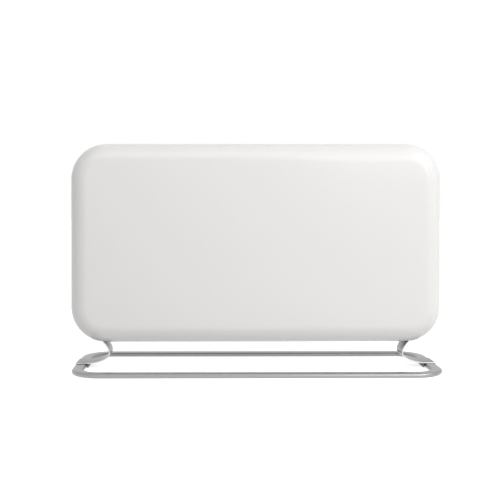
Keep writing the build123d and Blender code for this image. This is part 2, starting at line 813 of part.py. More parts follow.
terminal_block.part.label = "terminal_block"
export_step(terminal_block.part, "parts/terminal_block.step")

# Main switch low on the back: a bezelled frame with a cross pin, and the rocker that turns on it.
pivot_y = inner_rear_y - rocker_pivot_depth
cavity_length = switch_length - 2 * switch_wall_z
cavity_width = switch_width - 2 * switch_wall_x
rocker_width = cavity_width - rocker_play
with BuildPart() as switch_frame:
    with BuildSketch(Plane.XZ.offset(-rear_y)):
        with Locations((switch_x, switch_z)):
            RectangleRounded(switch_width + 2 * switch_bezel, switch_length + 2 * switch_bezel, switch_bezel_r)
    extrude(amount=-switch_bezel_height, taper=switch_bezel_draft)
    with BuildSketch(Plane.XZ.offset(-rear_y)):
        with Locations((switch_x, switch_z)):
            Rectangle(switch_width, switch_length)
    extrude(amount=switch_depth)
    with BuildSketch(Plane.XZ.offset(-(rear_y + switch_bezel_height))):
        with Locations((switch_x, switch_z)):
            Rectangle(cavity_width, cavity_length)
    extrude(amount=switch_bezel_height + switch_cavity_depth, mode=Mode.SUBTRACT)
    with BuildSketch(Plane.YZ.offset(switch_x - switch_width / 2)):
        with Locations((pivot_y, switch_z)):
            Circle(rocker_pin_r)
    extrude(amount=switch_width)
    with BuildSketch(Plane.XZ.offset(-(rear_y - switch_depth))):
        with Locations((switch_x, switch_z)):
            with GridLocations(0, blade_pitch, 1, 2):
                Rectangle(tab_width, tab_thickness)
    extrude(amount=blade_length)
switch_frame.part.label = "switch_frame"
export_step(switch_frame.part, "parts/switch_frame.step")
with BuildPart() as switch_rocker:
    with BuildSketch(Plane.YZ.offset(switch_x - rocker_width / 2)):
        with Locations(Location((pivot_y, switch_z), -rocker_tilt)):
            Polygon(*rocker_outline, align=None)
            Circle(rocker_pin_r + pin_clearance, mode=Mode.SUBTRACT)
    extrude(amount=rocker_width)
switch_rocker.part.label = "switch_rocker"
export_step(switch_rocker.part, "parts/switch_rocker.step")

# Cord inlet: a flanged bush in the rear shell, open for the mains lead.
with BuildPart() as cord_inlet:
    with BuildSketch(Plane.XY.offset(gland_z)):
        with BuildLine():
            Polyline(
                (switch_x + gland_bore_r, inner_rear_y - gland_snap[1]),
                (switch_x + gland_r + gland_snap[0], inner_rear_y - gland_snap[1]),
                (switch_x + gland_r + gland_snap[0], inner_rear_y),
                (switch_x + gland_r, inner_rear_y),
                (switch_x + gland_r, rear_y),
                *[(switch_x + gland_r + out, rear_y + proud) for out, proud in gland_outline],
                close=True,
            )
        make_face()
    revolve(axis=Axis((switch_x, 0, gland_z), (0, 1, 0)))
cord_inlet.part.label = "cord_inlet"
export_step(cord_inlet.part, "parts/cord_inlet.step")

# Tilt switch on the left upright's outer side: an open case with a pin, and a bob that hangs on it.
case_x = -web_outer_x
case_bottom, case_top = tilt_case_z
case_middle_z = (case_bottom + case_top) / 2
with BuildPart() as tilt_switch_case:
    with BuildSketch(Plane.YZ.offset(case_x)):
        with Locations((0, case_middle_z)):
            RectangleRounded(2 * tilt_case_half_y, case_top - case_bottom, tilt_case_r)
    extrude(amount=-tilt_case_depth)
    with BuildSketch(Plane.YZ.offset(case_x - box_wall)):
        with Locations((0, case_middle_z)):
            Rectangle(2 * (tilt_case_half_y - box_wall), case_top - case_bottom - 2 * box_wall)
    extrude(amount=-tilt_case_depth, mode=Mode.SUBTRACT)
    with BuildSketch(Plane.YZ.offset(case_x - box_wall)):
        with Locations((0, tilt_pivot_z)):
            Circle(tilt_pin_r)
    extrude(amount=-(tilt_case_depth - box_wall))
tilt_switch_case.part.label = "tilt_switch_case"
export_step(tilt_switch_case.part, "parts/tilt_switch_case.step")
with BuildPart() as tilt_pendulum:
    with BuildSketch(Plane.YZ.offset(case_x - arm_depth)):
        with Locations((0, tilt_pivot_z)):
            Circle(arm_eye_r)
        with Locations((0, tilt_pivot_z - bob_drop / 2)):
            Rectangle(arm_width, bob_drop)
    extrude(amount=-arm_width)
    with BuildSketch(Plane.YZ.offset(case_x - bob_depth)):
        with Locations((0, tilt_pivot_z - bob_drop)):
            Circle(bob_r)
    extrude(amount=-bob_thickness)
    with BuildSketch(Plane.YZ.offset(case_x - arm_depth)):
        with Locations((0, tilt_pivot_z)):
            Circle(tilt_pin_r + pin_clearance)
    extrude(amount=-arm_width, mode=Mode.SUBTRACT)
tilt_pendulum.part.label = "tilt_pendulum"
export_step(tilt_pendulum.part, "parts/tilt_pendulum.step")

# Room sensor: a small probe on the right upright's outer side, near the inlet.
with BuildPart() as sensor_clip:
    with BuildSketch(Plane.YZ.offset(web_outer_x)):
        with Locations((sensor_y, sensor_z)):
            RectangleRounded(sensor_clip_size[1], sensor_clip_size[2], sensor_clip_r)
    extrude(amount=sensor_clip_size[0])
    with BuildSketch(Plane.XY.offset(sensor_z)):
        with Locations((web_outer_x + sensor_stand_off, sensor_y)):
            Circle(sensor_r)
    extrude(amount=sensor_clip_size[2] / 2, both=True, mode=Mode.SUBTRACT)
sensor_clip.part.label = "sensor_clip"
export_step(sensor_clip.part, "parts/sensor_clip.step")
with BuildPart() as room_sensor:
    with BuildSketch(Plane.XY.offset(sensor_z)):
        with Locations((web_outer_x + sensor_stand_off, sensor_y)):
            Circle(sensor_r)
    extrude(amount=sensor_length / 2, both=True)
room_sensor.part.label = "room_sensor"
export_step(room_sensor.part, "parts/room_sensor.step")
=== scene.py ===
import bmesh
import bpy
import numpy as np
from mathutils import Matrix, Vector
from mathutils.geometry import delaunay_2d_cdt


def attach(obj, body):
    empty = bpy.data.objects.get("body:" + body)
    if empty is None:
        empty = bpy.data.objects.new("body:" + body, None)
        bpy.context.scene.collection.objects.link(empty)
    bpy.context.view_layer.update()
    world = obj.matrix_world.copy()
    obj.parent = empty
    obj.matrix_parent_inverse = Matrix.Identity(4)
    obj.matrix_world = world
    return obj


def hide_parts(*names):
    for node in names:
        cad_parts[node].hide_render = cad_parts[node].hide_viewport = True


# Free-standing electric panel heater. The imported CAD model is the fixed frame, in metres, with the floor at zero
# and the front facing -Y, and each piece below stands where its node stands.
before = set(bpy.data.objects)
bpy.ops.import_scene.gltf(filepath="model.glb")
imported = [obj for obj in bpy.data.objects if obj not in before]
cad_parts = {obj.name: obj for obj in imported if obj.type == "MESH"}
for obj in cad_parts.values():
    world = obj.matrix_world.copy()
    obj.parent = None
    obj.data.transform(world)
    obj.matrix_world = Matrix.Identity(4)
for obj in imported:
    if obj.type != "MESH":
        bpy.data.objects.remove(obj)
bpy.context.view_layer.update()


# Camera: level, about 1.5 m in front of the heater, 75 mm above the casing's middle and 69 mm left of it. The picture
# is shifted to hold the whole heater, so that its upright edges stay upright.
def new_object(name, data):
    """A new object in the scene, at the origin."""
    item = bpy.data.objects.new(name, data)
    bpy.context.scene.collection.objects.link(item)
    return item


camera_data = bpy.data.cameras.new("camera")
camera_data.lens = 60.715
camera_data.shift_x = 0.0509
camera_data.shift_y = -0.099
camera = new_object("camera", camera_data)
camera.location = (-0.06853, -1.49714, 0.29371)
sight_line = Vector((0.009, 1, 0))
camera.rotation_euler = sight_line.to_track_quat("-Z", "Y").to_euler()
bpy.context.scene.camera = camera


# Floor ring: two U-shaped halves bent from flattened aluminium bar, butted on dowels under the legs and drawn
# to a satin finish along their length. Pockets for the nuts of the legs' studs are sunk in from below.
ring_half_x = 0.3062
ring_half_y = 0.098
ring_bend_r = 0.0426
ring_bend_steps = 20
bar_width = 0.0196
bar_height = 0.0078
bar_corner_r = 0.0038
bar_corner_steps = 7
bar_end_ease = 0.0003
stud_y = 0.014
same_length = 1e-7
weld_gap = 2e-6


def track_lengths(half_u, half_v, radius):
    """Lengths at which a rounded rectangle changes between straight and turn, walked from its right side's middle."""
    side_u = half_u - radius
    side_v = half_v - radius
    quarter = radius * np.pi / 2
    steps = [0, side_v, quarter, 2 * side_u, quarter, 2 * side_v, quarter, 2 * side_u, quarter, side_v]
    return np.cumsum(steps)


def rounded_track(along, half_u, half_v, radius, inset=0.0):
    """Points of a rounded rectangle by the length walked along it: a centre walks the inner rectangle, and waits at
    its corners while a direction turns a quarter. A point is the centre plus the direction times radius less inset."""
    lengths = track_lengths(half_u, half_v, radius)
    centre_u = np.interp(along, lengths, (half_u - radius) * np.array([1, 1, 1, -1, -1, -1, -1, 1, 1, 1]))
    centre_v = np.interp(along, lengths, (half_v - radius) * np.array([0, 1, 1, 1, 1, -1, -1, -1, -1, 0]))
    turned = np.interp(along, lengths, np.pi / 2 * np.array([0, 0, 1, 1, 2, 2, 3, 3, 4, 4]))
    return centre_u + (radius - inset) * np.cos(turned), centre_v + (radius - inset) * np.sin(turned)


def turn_stops(half_u, half_v, radius, steps):
    """Lengths along a rounded rectangle at which its turns take points, with steps to each quarter turn."""
    lengths = track_lengths(half_u, half_v, radius)
    turns = lengths[[1, 3, 5, 7], None] + np.linspace(0, radius * np.pi / 2, steps + 1)
    stops = np.unique(np.round(turns.ravel(), 9))
    return stops[stops < lengths[-1] - same_length]


def rounded_loop(half_u, half_v, radius, steps, inset=0.0):
    """Closed loop of points (u, v) on a rounded rectangle; a slot or a circle has its radius as a half side."""
    stops = turn_stops(half_u, half_v, radius, steps)
    return np.stack(rounded_track(stops, half_u, half_v, radius, inset), axis=1)


def walked(points):
    """The length walked to each point of a line."""
    return np.cumsum(np.linalg.norm(np.diff(points, axis=0, prepend=points[:1]), axis=1))


def bridge(rows, columns, closed):
    """Quads between neighbouring rows of a grid of points, each row joined end to start where it is closed."""
    spans = columns if closed else columns - 1
    row, column = np.meshgrid(np.arange(rows - 1), np.arange(spans), indexing="ij")
    here = row * columns + column
    beside = row * columns + (column + 1) % columns
    return np.stack([here, beside, beside + columns, here + columns], axis=-1).reshape(-1, 4).tolist()


def sleeve(loops):
    """A skin over a stack of closed loops of equal count, open at both ends."""
    return loops.reshape(-1, 3), bridge(*loops.shape[:2], True)


def loft(loops):
    """A sleeve over a stack of loops, with a face on each end."""
    rows, columns = loops.shape[:2]
    points, faces = sleeve(loops)
    return points, faces + [list(range(columns)), list(range((rows - 1) * columns, rows * columns))]


def together(*shapes):
    """Several (points, faces) shapes as one."""
    points, faces, start = [], [], 0
    for shape_points, shape_faces in shapes:
        points.append(shape_points)
        faces += [[start + corner for corner in face] for face in shape_faces]
        start += len(shape_points)
    return np.concatenate(points), faces


def make_piece(name, shape, run=None):
    """A mesh object from (points, faces), its doubles merged and its faces turned outwards. Run gives each point a
    length along and a length across the piece, for a finish that follows its form."""
    points, faces = shape
    mesh = bpy.data.meshes.new(name)
    mesh.from_pydata(points.tolist(), [], faces)
    if run is not None:
        attribute = mesh.attributes.new("run", "FLOAT_VECTOR", "POINT")
        attribute.data.foreach_set("vector", np.asarray(run, np.float32).ravel())
    skin = bmesh.new()
    skin.from_mesh(mesh)
    bmesh.ops.remove_doubles(skin, verts=skin.verts, dist=weld_gap)
    bmesh.ops.recalc_face_normals(skin, faces=skin.faces)
    skin.to_mesh(mesh)
    skin.free()
    return new_object(name, mesh)


def settle(piece, crease=30):
    """Keeps the mesh as the piece's modifiers leave it, smooth but for edges sharper than the crease in degrees."""
    depsgraph = bpy.context.evaluated_depsgraph_get()
    mesh = bpy.data.meshes.new_from_object(piece.evaluated_get(depsgraph), depsgraph=depsgraph)
    mesh.name = piece.name
    piece.modifiers.clear()
    piece.data = mesh
    mesh.shade_smooth()
    mesh.set_sharp_from_angle(angle=np.radians(crease))
    return piece


def carve(piece, *cutters):
    """Takes the cutters' closed forms out of a closed piece."""
    for cutter in cutters:
        cut = piece.modifiers.new("cut", "BOOLEAN")
        cut.operation = "DIFFERENCE"
        cut.solver = "EXACT"
        cut.object = cutter
    settle(piece)
    for cutter in cutters:
        bpy.data.objects.remove(cutter)


def spun(reach, height):
    """Loops about the Z axis: a grid of reaches from the axis, evenly spaced round a turn, at each row's heights."""
    around = np.linspace(0, 2 * np.pi, reach.shape[1], endpoint=False)
    return np.stack([reach * np.cos(around), reach * np.sin(around), np.broadcast_to(height, reach.shape)], axis=-1)


def turned_form(profile, steps):
    """A form turned about the Z axis from (radius, height) points that start and end on the axis or at one point."""
    profile = np.asarray(profile, float)
    return sleeve(spun(np.repeat(profile[:, :1], steps, axis=1), profile[:, 1:]))


def placed(shape, place, up="Z"):
    """A shape moved to a place, its own Z turned towards +Y or +X first where up says so."""
    points, faces = shape
    x, y, z = points.T
    turned = {"Z": (x, y, z), "+Y": (-x, z, y), "+X": (z, y, -x)}[up]
    return np.stack(turned, axis=1) + np.asarray(place, float), faces


def stand_for(piece, body, slot, *nodes):
    """The piece rides on a body and is shown instead of the nodes; the slot is not used."""
    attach(piece, body)
    if nodes:
        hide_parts(*nodes)
    return piece


bar_loop = rounded_loop(bar_width / 2, bar_height / 2, bar_corner_r, bar_corner_steps)
bar_loop = np.roll(bar_loop, bar_corner_steps + 1, axis=0)
bar_around = walked(bar_loop)
ring_size = (ring_half_x, ring_half_y, ring_bend_r)
ring_length = track_lengths(*ring_size)[-1]
ring_stops = turn_stops(*ring_size, ring_bend_steps)
ring_halves = {"ring_rear": (0, ring_length / 2), "ring_front": (ring_length / 2, ring_length)}
nut_pocket = [(0, -0.001), (0.0043, -0.001), (0.0043, 0.0045), (0.0022, 0.0045), (0.0022, 0.012), (0, 0.012)]
ring_pieces = []
for node, (start, end) in ring_halves.items():
    turns = ring_stops[(ring_stops > start) & (ring_stops < end)]
    long_side = np.linspace(turns[ring_bend_steps], turns[ring_bend_steps + 1], 12)[1:-1]
    stops = np.unique(np.concatenate([[start, start + bar_end_ease, end - bar_end_ease, end], turns, long_side]))
    shrink = np.where((stops == start) | (stops == end), bar_end_ease, 0)[:, None]
    across = bar_loop[:, 0] * (1 - shrink / (bar_width / 2))
    x, y = rounded_track(stops[:, None], *ring_size, -across)
    z = bar_height / 2 + bar_loop[:, 1] * (1 - shrink / (bar_height / 2))
    grid = np.stack([x, y, z], axis=-1)
    run = np.stack(np.broadcast_arrays(stops[:, None], bar_around, 0.0), axis=-1).reshape(-1, 3)
    half = make_piece(node + "_bar", loft(grid), run)
    side_y = stud_y if node == "ring_rear" else -stud_y
    pockets = [
        make_piece("pocket", placed(turned_form(nut_pocket, 32), (x, side_y, 0)))
        for x in (-ring_half_x, ring_half_x)
    ]
    carve(half, *pockets)
    ring_pieces.append(stand_for(half, "casing", "satin_alloy", node))


# Shading nodes: each finish is a few nodes round one Principled surface. Put adds a node to a material or a group,
# wire joins two sockets, and an effect is a node group that several finishes share. Mix's colours go by number.
mix_low, mix_high, mix_out = 6, 7, 2


def put(tree, kind, values=(), **settings):
    """A shader node with its settings and its input values."""
    node = tree.nodes.new("ShaderNode" + kind)
    for name, value in settings.items():
        setattr(node, name, value)
    for name, value in dict(values).items():
        node.inputs[name].default_value = value
    return node


def wire(tree, source, output, target, socket):
    """Joins an output socket to an input socket."""
    tree.links.new(source.outputs[output], target.inputs[socket])


def first_node(tree, kind):
    """The first node of a kind."""
    return next(node for node in tree.nodes if node.type == kind)


def new_finish(name, values):
    """A material with one Principled surface, and that surface."""
    material = bpy.data.materials.new(name)
    material.use_nodes = True
    tree = material.node_tree
    tree.nodes.clear()
    surface = put(tree, "BsdfPrincipled", values)
    wire(tree, surface, "BSDF", put(tree, "OutputMaterial"), "Surface")
    return material, tree, surface


def new_effect(name):
    """A node group that takes a Place, a count Per metre and a Depth, and gives a Mask from 0 to 1 and a Height."""
    group = bpy.data.node_groups.new(name, "ShaderNodeTree")
    group.interface.new_socket("Place", in_out="INPUT", socket_type="NodeSocketVector")
    for socket, way in (("Per metre", "INPUT"), ("Depth", "INPUT"), ("Mask", "OUTPUT"), ("Height", "OUTPUT")):
        group.interface.new_socket(socket, in_out=way, socket_type="NodeSocketFloat")
    return group, group.nodes.new("NodeGroupInput"), group.nodes.new("NodeGroupOutput")


def give_out(group, noise, given, result):
    """The effect's Mask is a noise, and its Height is that noise times the Depth."""
    height = put(group, "Math", operation="MULTIPLY")
    wire(group, noise, "Fac", height, 0)
    wire(group, given, "Depth", height, 1)
    wire(group, noise, "Fac", result, "Mask")
    wire(group, height, "Value", result, "Height")


# Drawn lines: the fine scratches that a die or rolls leave along drawn and rolled metal. They are a noise stretched
# along the piece, coarse that way and as fine as the finish asks for across it.
lines_lengthwise = 14.0
drawn_lines, given, result = new_effect("drawn_lines")
fine = put(drawn_lines, "CombineXYZ", {"X": lines_lengthwise})
stretched = put(drawn_lines, "VectorMath", operation="MULTIPLY")
scratches = put(drawn_lines, "TexNoise", {"Scale": 1.0, "Detail": 3.0, "Roughness": 0.6})
wire(drawn_lines, given, "Per metre", fine, "Y")
wire(drawn_lines, given, "Per metre", fine, "Z")
wire(drawn_lines, given, "Place", stretched, 0)
wire(drawn_lines, fine, "Vector", stretched, 1)
wire(drawn_lines, stretched, "Vector", scratches, "Vector")
give_out(drawn_lines, scratches, given, result)


def textured_finish(name, effect, density, depth, low, high, values, run=False):
    """A finish whose colour and roughness move between a low and a high (colour, roughness) with an effect's mask,
    and whose bump is the effect's height. The effect reads the piece's run where it has one, or object space."""
    material, tree, surface = new_finish(name, values)
    place = put(tree, "Attribute", attribute_name="run") if run else put(tree, "TexCoord")
    shown = put(tree, "Group", {"Per metre": density, "Depth": depth}, node_tree=effect)
    colour = put(tree, "Mix", {mix_low: (*low[0], 1), mix_high: (*high[0], 1)}, data_type="RGBA")
    rough = put(tree, "MapRange", {"To Min": low[1], "To Max": high[1]})
    bump = put(tree, "Bump", {"Strength": 1.0, "Distance": 1.0})
    wire(tree, place, "Vector" if run else "Object", shown, "Place")
    wire(tree, shown, "Mask", colour, 0)
    wire(tree, colour, mix_out, surface, "Base Color")
    wire(tree, shown, "Mask", rough, "Value")
    wire(tree, rough, "Result", surface, "Roughness")
    wire(tree, shown, "Height", bump, "Height")
    wire(tree, bump, "Normal", surface, "Normal")
    return material


def dress(material, *pieces):
    """Each piece shows one material."""
    for piece in pieces:
        piece.data.materials.clear()
        piece.data.materials.append(material)


bare_metal = {"Metallic": 1.0}
satin_alloy = textured_finish(
    "satin_alloy", drawn_lines, 2500, 5e-7, ((0.30, 0.30, 0.30), 0.29), ((0.34, 0.34, 0.34), 0.33), bare_metal, run=True
)
dress(satin_alloy, *ring_pieces)


# Foot pads: two strips moulded of grey rubber, narrower at the foot. Each stands on the floor against the inner side
# of the ring's bar, under the leg's plate. Their grain, fine pebbles from a blasted mould, also serves at other sizes
# for the plastics and the sprayed skins.
moulded_grain, given, result = new_effect("moulded_grain")
pebbles = put(moulded_grain, "TexNoise", {"Detail": 2.0, "Roughness": 0.55})
wire(moulded_grain, given, "Place", pebbles, "Vector")
wire(moulded_grain, given, "Per metre", pebbles, "Scale")
give_out(moulded_grain, pebbles, given, result)


def eased_copy(node, width, crease=30):
    """A copy of a CAD node's mesh, its doubles merged and flat faces joined, with its sharp edges rounded."""
    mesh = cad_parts[node].data.copy()
    skin = bmesh.new()
    skin.from_mesh(mesh)
    bmesh.ops.remove_doubles(skin, verts=skin.verts, dist=weld_gap)
    flat = np.radians(1.0)
    bmesh.ops.dissolve_limit(skin, angle_limit=flat, verts=skin.verts, edges=skin.edges, use_dissolve_boundaries=False)
    skin.to_mesh(mesh)
    skin.free()
    piece = new_object(node + "_eased", mesh)
    ease = piece.modifiers.new("ease", "BEVEL")
    ease.width = width
    ease.segments = 2
    ease.limit_method = "ANGLE"
    ease.angle_limit = np.radians(crease)
    ease.use_clamp_overlap = True
    return settle(piece, crease)


rubber = {"Specular IOR Level": 0.35}
grey_rubber = textured_finish(
    "grey_rubber", moulded_grain, 1800, 2e-5, ((0.27, 0.27, 0.265), 0.62), ((0.33, 0.33, 0.324), 0.75), rubber
)
for node in ("left_foot_pad", "right_foot_pad"):
    pad = eased_copy(node, 0.0008)
    stand_for(pad, "casing", "grey_rubber", node)
    dress(grey_rubber, pad)


# Legs: one aluminium strap each side. It hangs from the upright inside the casing, bends to a waist below the
# casing and runs out as a flat plate that laps the ring's side bar. Two studs under it take the ring's nuts.
strap_width = 0.044
strap_thickness = 0.0022
strap_edge_r = 0.0006
strap_edge_steps = 4
strap_bend_steps = 10
tongue_x = 0.2791
tongue_top = 0.124
tongue_foot = 0.0761
bend_points = np.array(
    [
        (tongue_x, 0.076),
        (0.2712, 0.0515),
        (0.2601, 0.0371),
        (0.2567, 0.027),
        (0.2583, 0.0216),
        (0.2652, 0.016),
        (0.2802, 0.0107),
        (0.3002, 0.0089),
    ]
)


def smooth_line(points, first, last, steps):
    """A curve through points, cubic between them, with the given unit directions at its ends and no jump in
    curvature inside: the slopes solve the usual three-term equations over the chords' lengths."""
    chord = np.linalg.norm(np.diff(points, axis=0), axis=1)
    rise = np.diff(points, axis=0) / chord[:, None]
    count = len(points)
    weights = np.eye(count)
    wanted = np.zeros((count, 2))
    wanted[0], wanted[-1] = first, last
    inner = np.arange(1, count - 1)
    weights[inner, inner - 1] = chord[1:]
    weights[inner, inner] = 2 * (chord[:-1] + chord[1:])
    weights[inner, inner + 1] = chord[:-1]
    wanted[inner] = 3 * (chord[1:, None] * rise[:-1] + chord[:-1, None] * rise[1:])
    slope = np.linalg.solve(weights, wanted)
    t = np.linspace(0, 1, steps, endpoint=False)[None, :, None]
    h = chord[:, None, None]
    start, end = points[:-1, None], points[1:, None]
    line = (
        (1 + 2 * t) * (1 - t) ** 2 * start
        + t * (1 - t) ** 2 * h * slope[:-1, None]
        + t**2 * (3 - 2 * t) * end
        + t**2 * (t - 1) * h * slope[1:, None]
    )
    return np.concatenate([line.reshape(-1, 2), points[-1:]])


saddle_centre = np.array([ring_half_x + bar_width / 2 - bar_corner_r, bar_height - bar_corner_r])
saddle_r = bar_corner_r + strap_thickness / 2
saddle_turn = np.radians(np.linspace(90, 48, 12))
saddle = saddle_centre + saddle_r * np.stack([np.cos(saddle_turn), np.sin(saddle_turn)], axis=1)
bend = smooth_line(bend_points, (0, -1), (1, 0), strap_bend_steps)
tongue = np.stack([np.full(4, tongue_x), np.linspace(tongue_top, tongue_foot, 4)], axis=1)
strap_line = np.concatenate([tongue, bend, saddle])
strap_heading = np.gradient(strap_line, axis=0)
strap_heading /= np.linalg.norm(strap_heading, axis=1)[:, None]
strap_side = np.stack([strap_heading[:, 1], -strap_heading[:, 0]], axis=1)
strap_along = walked(strap_line)
end_steps = np.radians([0, 30, 60, 90])
end_insets = strap_edge_r * (1 - np.cos(end_steps))
end_reach = -strap_edge_r * (1 - np.sin(end_steps))
strap_size = (strap_thickness / 2, strap_width / 2, strap_edge_r, strap_edge_steps)
strap_section = rounded_loop(*strap_size)
strap_core = rounded_loop(*strap_size, strap_edge_r)
plain_rows = len(strap_line) - 1
row_line = np.concatenate([np.arange(plain_rows), np.full(len(end_steps), plain_rows)])
row_inset = np.concatenate([np.zeros(plain_rows), end_insets])[:, None, None]
row_back = np.concatenate([np.zeros(plain_rows), end_reach])[:, None]
row_centre = strap_line[row_line] + strap_heading[row_line] * row_back
row_section = strap_section + (strap_core - strap_section) * row_inset / strap_edge_r
strap_rows = np.empty((*row_section.shape[:2], 3))
strap_rows[..., 0] = row_centre[:, :1] + strap_side[row_line, :1] * row_section[..., 0]
strap_rows[..., 1] = row_section[..., 1]
strap_rows[..., 2] = row_centre[:, 1:] + strap_side[row_line, 1:] * row_section[..., 0]
row_along = np.concatenate([strap_along[:-1], strap_along[-1] + end_reach])
spread_through = 4
strap_run = np.stack(
    np.broadcast_arrays(row_along[:, None], strap_section[:, 1], strap_section[:, 0] * spread_through), axis=-1
).reshape(-1, 3)
# The straps take the ring's satin alloy made darker: painted shade for the casing's shadow over them and the dark
# underside they reflect.
shaded_strap_alloy = textured_finish(
    "shaded_strap_alloy", drawn_lines, 2500, 5e-7, ((0.22, 0.22, 0.22), 0.29), ((0.25, 0.25, 0.25), 0.33), bare_metal, run=True
)
# Their long edges are much lighter: brighter bare metal at the cut edges, and with it a painted highlight where the
# edges catch the light.
bare_edge_and_highlight_colour = (0.62, 0.62, 0.62, 1)
bare_edge_and_highlight_starts, bare_edge_and_highlight_full = strap_width / 2 - 0.0007, strap_width / 2 - 0.0004
tree = shaded_strap_alloy.node_tree
parts = put(tree, "SeparateXYZ")
reach = put(tree, "Math", operation="ABSOLUTE")
edge = put(tree, "MapRange", {"From Min": bare_edge_and_highlight_starts, "From Max": bare_edge_and_highlight_full})
bare_edge_and_highlight = put(tree, "Mix", {mix_high: bare_edge_and_highlight_colour}, data_type="RGBA")
wire(tree, first_node(tree, "ATTRIBUTE"), "Vector", parts, "Vector")
wire(tree, parts, "Y", reach, 0)
wire(tree, reach, "Value", edge, "Value")
wire(tree, edge, "Result", bare_edge_and_highlight, 0)
wire(tree, first_node(tree, "MIX"), mix_out, bare_edge_and_highlight, mix_low)
wire(tree, bare_edge_and_highlight, mix_out, first_node(tree, "BSDF_PRINCIPLED"), "Base Color")
stud = [(0, 0.001), (0.0016, 0.001), (0.002, 0.0014), (0.002, 0.0089), (0, 0.0089)]
for side_name, sign in (("left", -1), ("right", 1)):
    strap_points, strap_faces = loft(strap_rows)
    studs = [placed(turned_form(stud, 24), (sign * ring_half_x, y, 0)) for y in (-stud_y, stud_y)]
    leg_shape = together((strap_points * (sign, 1, 1), strap_faces), *studs)
    leg_run = np.concatenate([strap_run] + [points * 0 for points, faces in studs])
    leg = settle(make_piece(side_name + "_leg_strap", leg_shape, leg_run), 40)
    stand_for(leg, "casing", "satin_alloy", side_name + "_leg")
    dress(shaded_strap_alloy, leg)


# Zinc plated steel: the uprights, the sheet guides, and the screws, nuts and dowels. The sheets carry a cloudy
# spangle and the turned parts a duller grain.
def as_packed(*nodes):
    """The objects of CAD nodes that are shown in their CAD form."""
    return [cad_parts[node] for node in nodes]


zinc_sheet = textured_finish(
    "zinc_sheet", moulded_grain, 220, 2e-6, ((0.48, 0.49, 0.50), 0.32), ((0.60, 0.61, 0.62), 0.46), bare_metal
)
zinc_fastener = textured_finish(
    "zinc_fastener", moulded_grain, 2600, 4e-6, ((0.50, 0.50, 0.51), 0.30), ((0.62, 0.62, 0.63), 0.42), bare_metal
)
dress(zinc_sheet, *as_packed("left_upright", "right_upright", "heat_shield", "air_deflector"))
dress(zinc_fastener, *as_packed("leg_screws", "ring_dowels", "element_terminals"))

# Ring nuts: hexagon nuts of zinc plated steel with their corners turned off. They are run up the legs' studs into
# the bar's pockets, and hold the ring to the legs.
nut_across_flats = 0.007
nut_low, nut_high = 0.0015, 0.0045
nut_steps = 72
nut_around = np.linspace(0, 2 * np.pi, nut_steps, endpoint=False)
hexagon = nut_across_flats / 2 / np.cos((nut_around + np.pi / 6) % (np.pi / 3) - np.pi / 6)
nut_profile = np.array(
    [
        (0.0020, nut_low + 0.0003),
        (0.0023, nut_low),
        (0.0034, nut_low),
        (0.00375, nut_low + 0.0003),
        (0.0041, nut_low + 0.0006),
        (0.0041, nut_high),
        (0.0020, nut_high),
        (0.0020, nut_low + 0.0003),
    ]
)
one_nut = sleeve(spun(np.minimum(hexagon, nut_profile[:, :1]), nut_profile[:, 1:]))
nut_places = [(x, y, 0) for x in (-ring_half_x, ring_half_x) for y in (-stud_y, stud_y)]
nuts = settle(make_piece("ring_nut_set", together(*(placed(one_nut, place) for place in nut_places))))
stand_for(nuts, "casing", "zinc_fastener", "ring_nuts")
dress(zinc_fastener, nuts)


# Front shell: one deep steel pressing with a wide rounded front edge, enamelled white. It makes the front, the
# sides, the top and the bottom, and is pierced for the control panel, the legs and the cold air.
casing_half_x = 0.325
casing_half_z = 0.17425
casing_middle_z = 0.21915
casing_corner_r = 0.0625
casing_front_y = -0.04
front_edge_r = 0.032
front_edge_over = front_edge_r * np.pi / 2
shell_sheet = 0.0012
net_margin = 0.0006
net_gap = 1e-8
casing_size = (casing_half_x, casing_half_z, casing_corner_r)
casing_side_x = casing_half_x - casing_corner_r
casing_lengths = track_lengths(*casing_size)
top_start, bottom_start = casing_lengths[[2, 6]]


def inside(points, loop):
    """Which points lie in a closed loop, by whether a ray from each crosses the loop an odd number of times."""
    low, high = loop.min(axis=0), loop.max(axis=0)
    near = np.flatnonzero(((points >= low) & (points <= high)).all(axis=1))
    u, v = points[near, 0, None], points[near, 1, None]
    u1, v1 = loop[None, :, 0], loop[None, :, 1]
    u2, v2 = np.roll(u1, -1, axis=1), np.roll(v1, -1, axis=1)
    spans = (v1 > v) != (v2 > v)
    with np.errstate(divide="ignore", invalid="ignore"):
        crossing = u < u1 + (v - v1) * (u2 - u1) / (v2 - v1)
    found = np.zeros(len(points), bool)
    found[near] = (spans & crossing).sum(axis=1) % 2 == 1
    return found


def pierced_net(outline, holes=(), extra=np.empty((0, 2)), clearances=()):
    """Points and triangles of a flat sheet with holes: a Delaunay net of the outline, the holes and those extra
    points that lie outside every clearance, from which triangles outside the outline or in a hole are dropped."""
    for clearance in clearances:
        extra = extra[~inside(extra, clearance)]
    loops = [outline, *holes]
    edges, start = [], 0
    for loop in loops:
        ring = start + np.arange(len(loop))
        edges += np.stack([ring, np.roll(ring, -1)], axis=1).tolist()
        start += len(loop)
    points = np.concatenate(loops + [extra])
    made = delaunay_2d_cdt(points.tolist(), edges, [], 0, net_gap)
    net, faces = np.array(made[0]), np.array(made[2])
    middle = net[faces].mean(axis=1)
    kept = inside(middle, outline)
    for hole in holes:
        kept &= ~inside(middle, hole)
    return net, faces[kept]


def front_edge(over):
    """Inset and depth at a length over the front edge: flat, a quarter turn of the edge radius, then the wall."""
    turn = np.clip(over / front_edge_r, 0, np.pi / 2)
    inset = front_edge_r * (1 - np.sin(turn)) - np.minimum(over, 0)
    wall = np.maximum(over - front_edge_over, 0)
    return inset, casing_front_y + front_edge_r * (1 - np.cos(turn)) + wall


def over_front(y):
    """The length over the front edge at which the wall or the edge has a depth y."""
    turn = np.arccos(np.clip(1 - (y - casing_front_y) / front_edge_r, 0, 1))
    return front_edge_r * turn + np.maximum(y - casing_front_y - front_edge_r, 0)


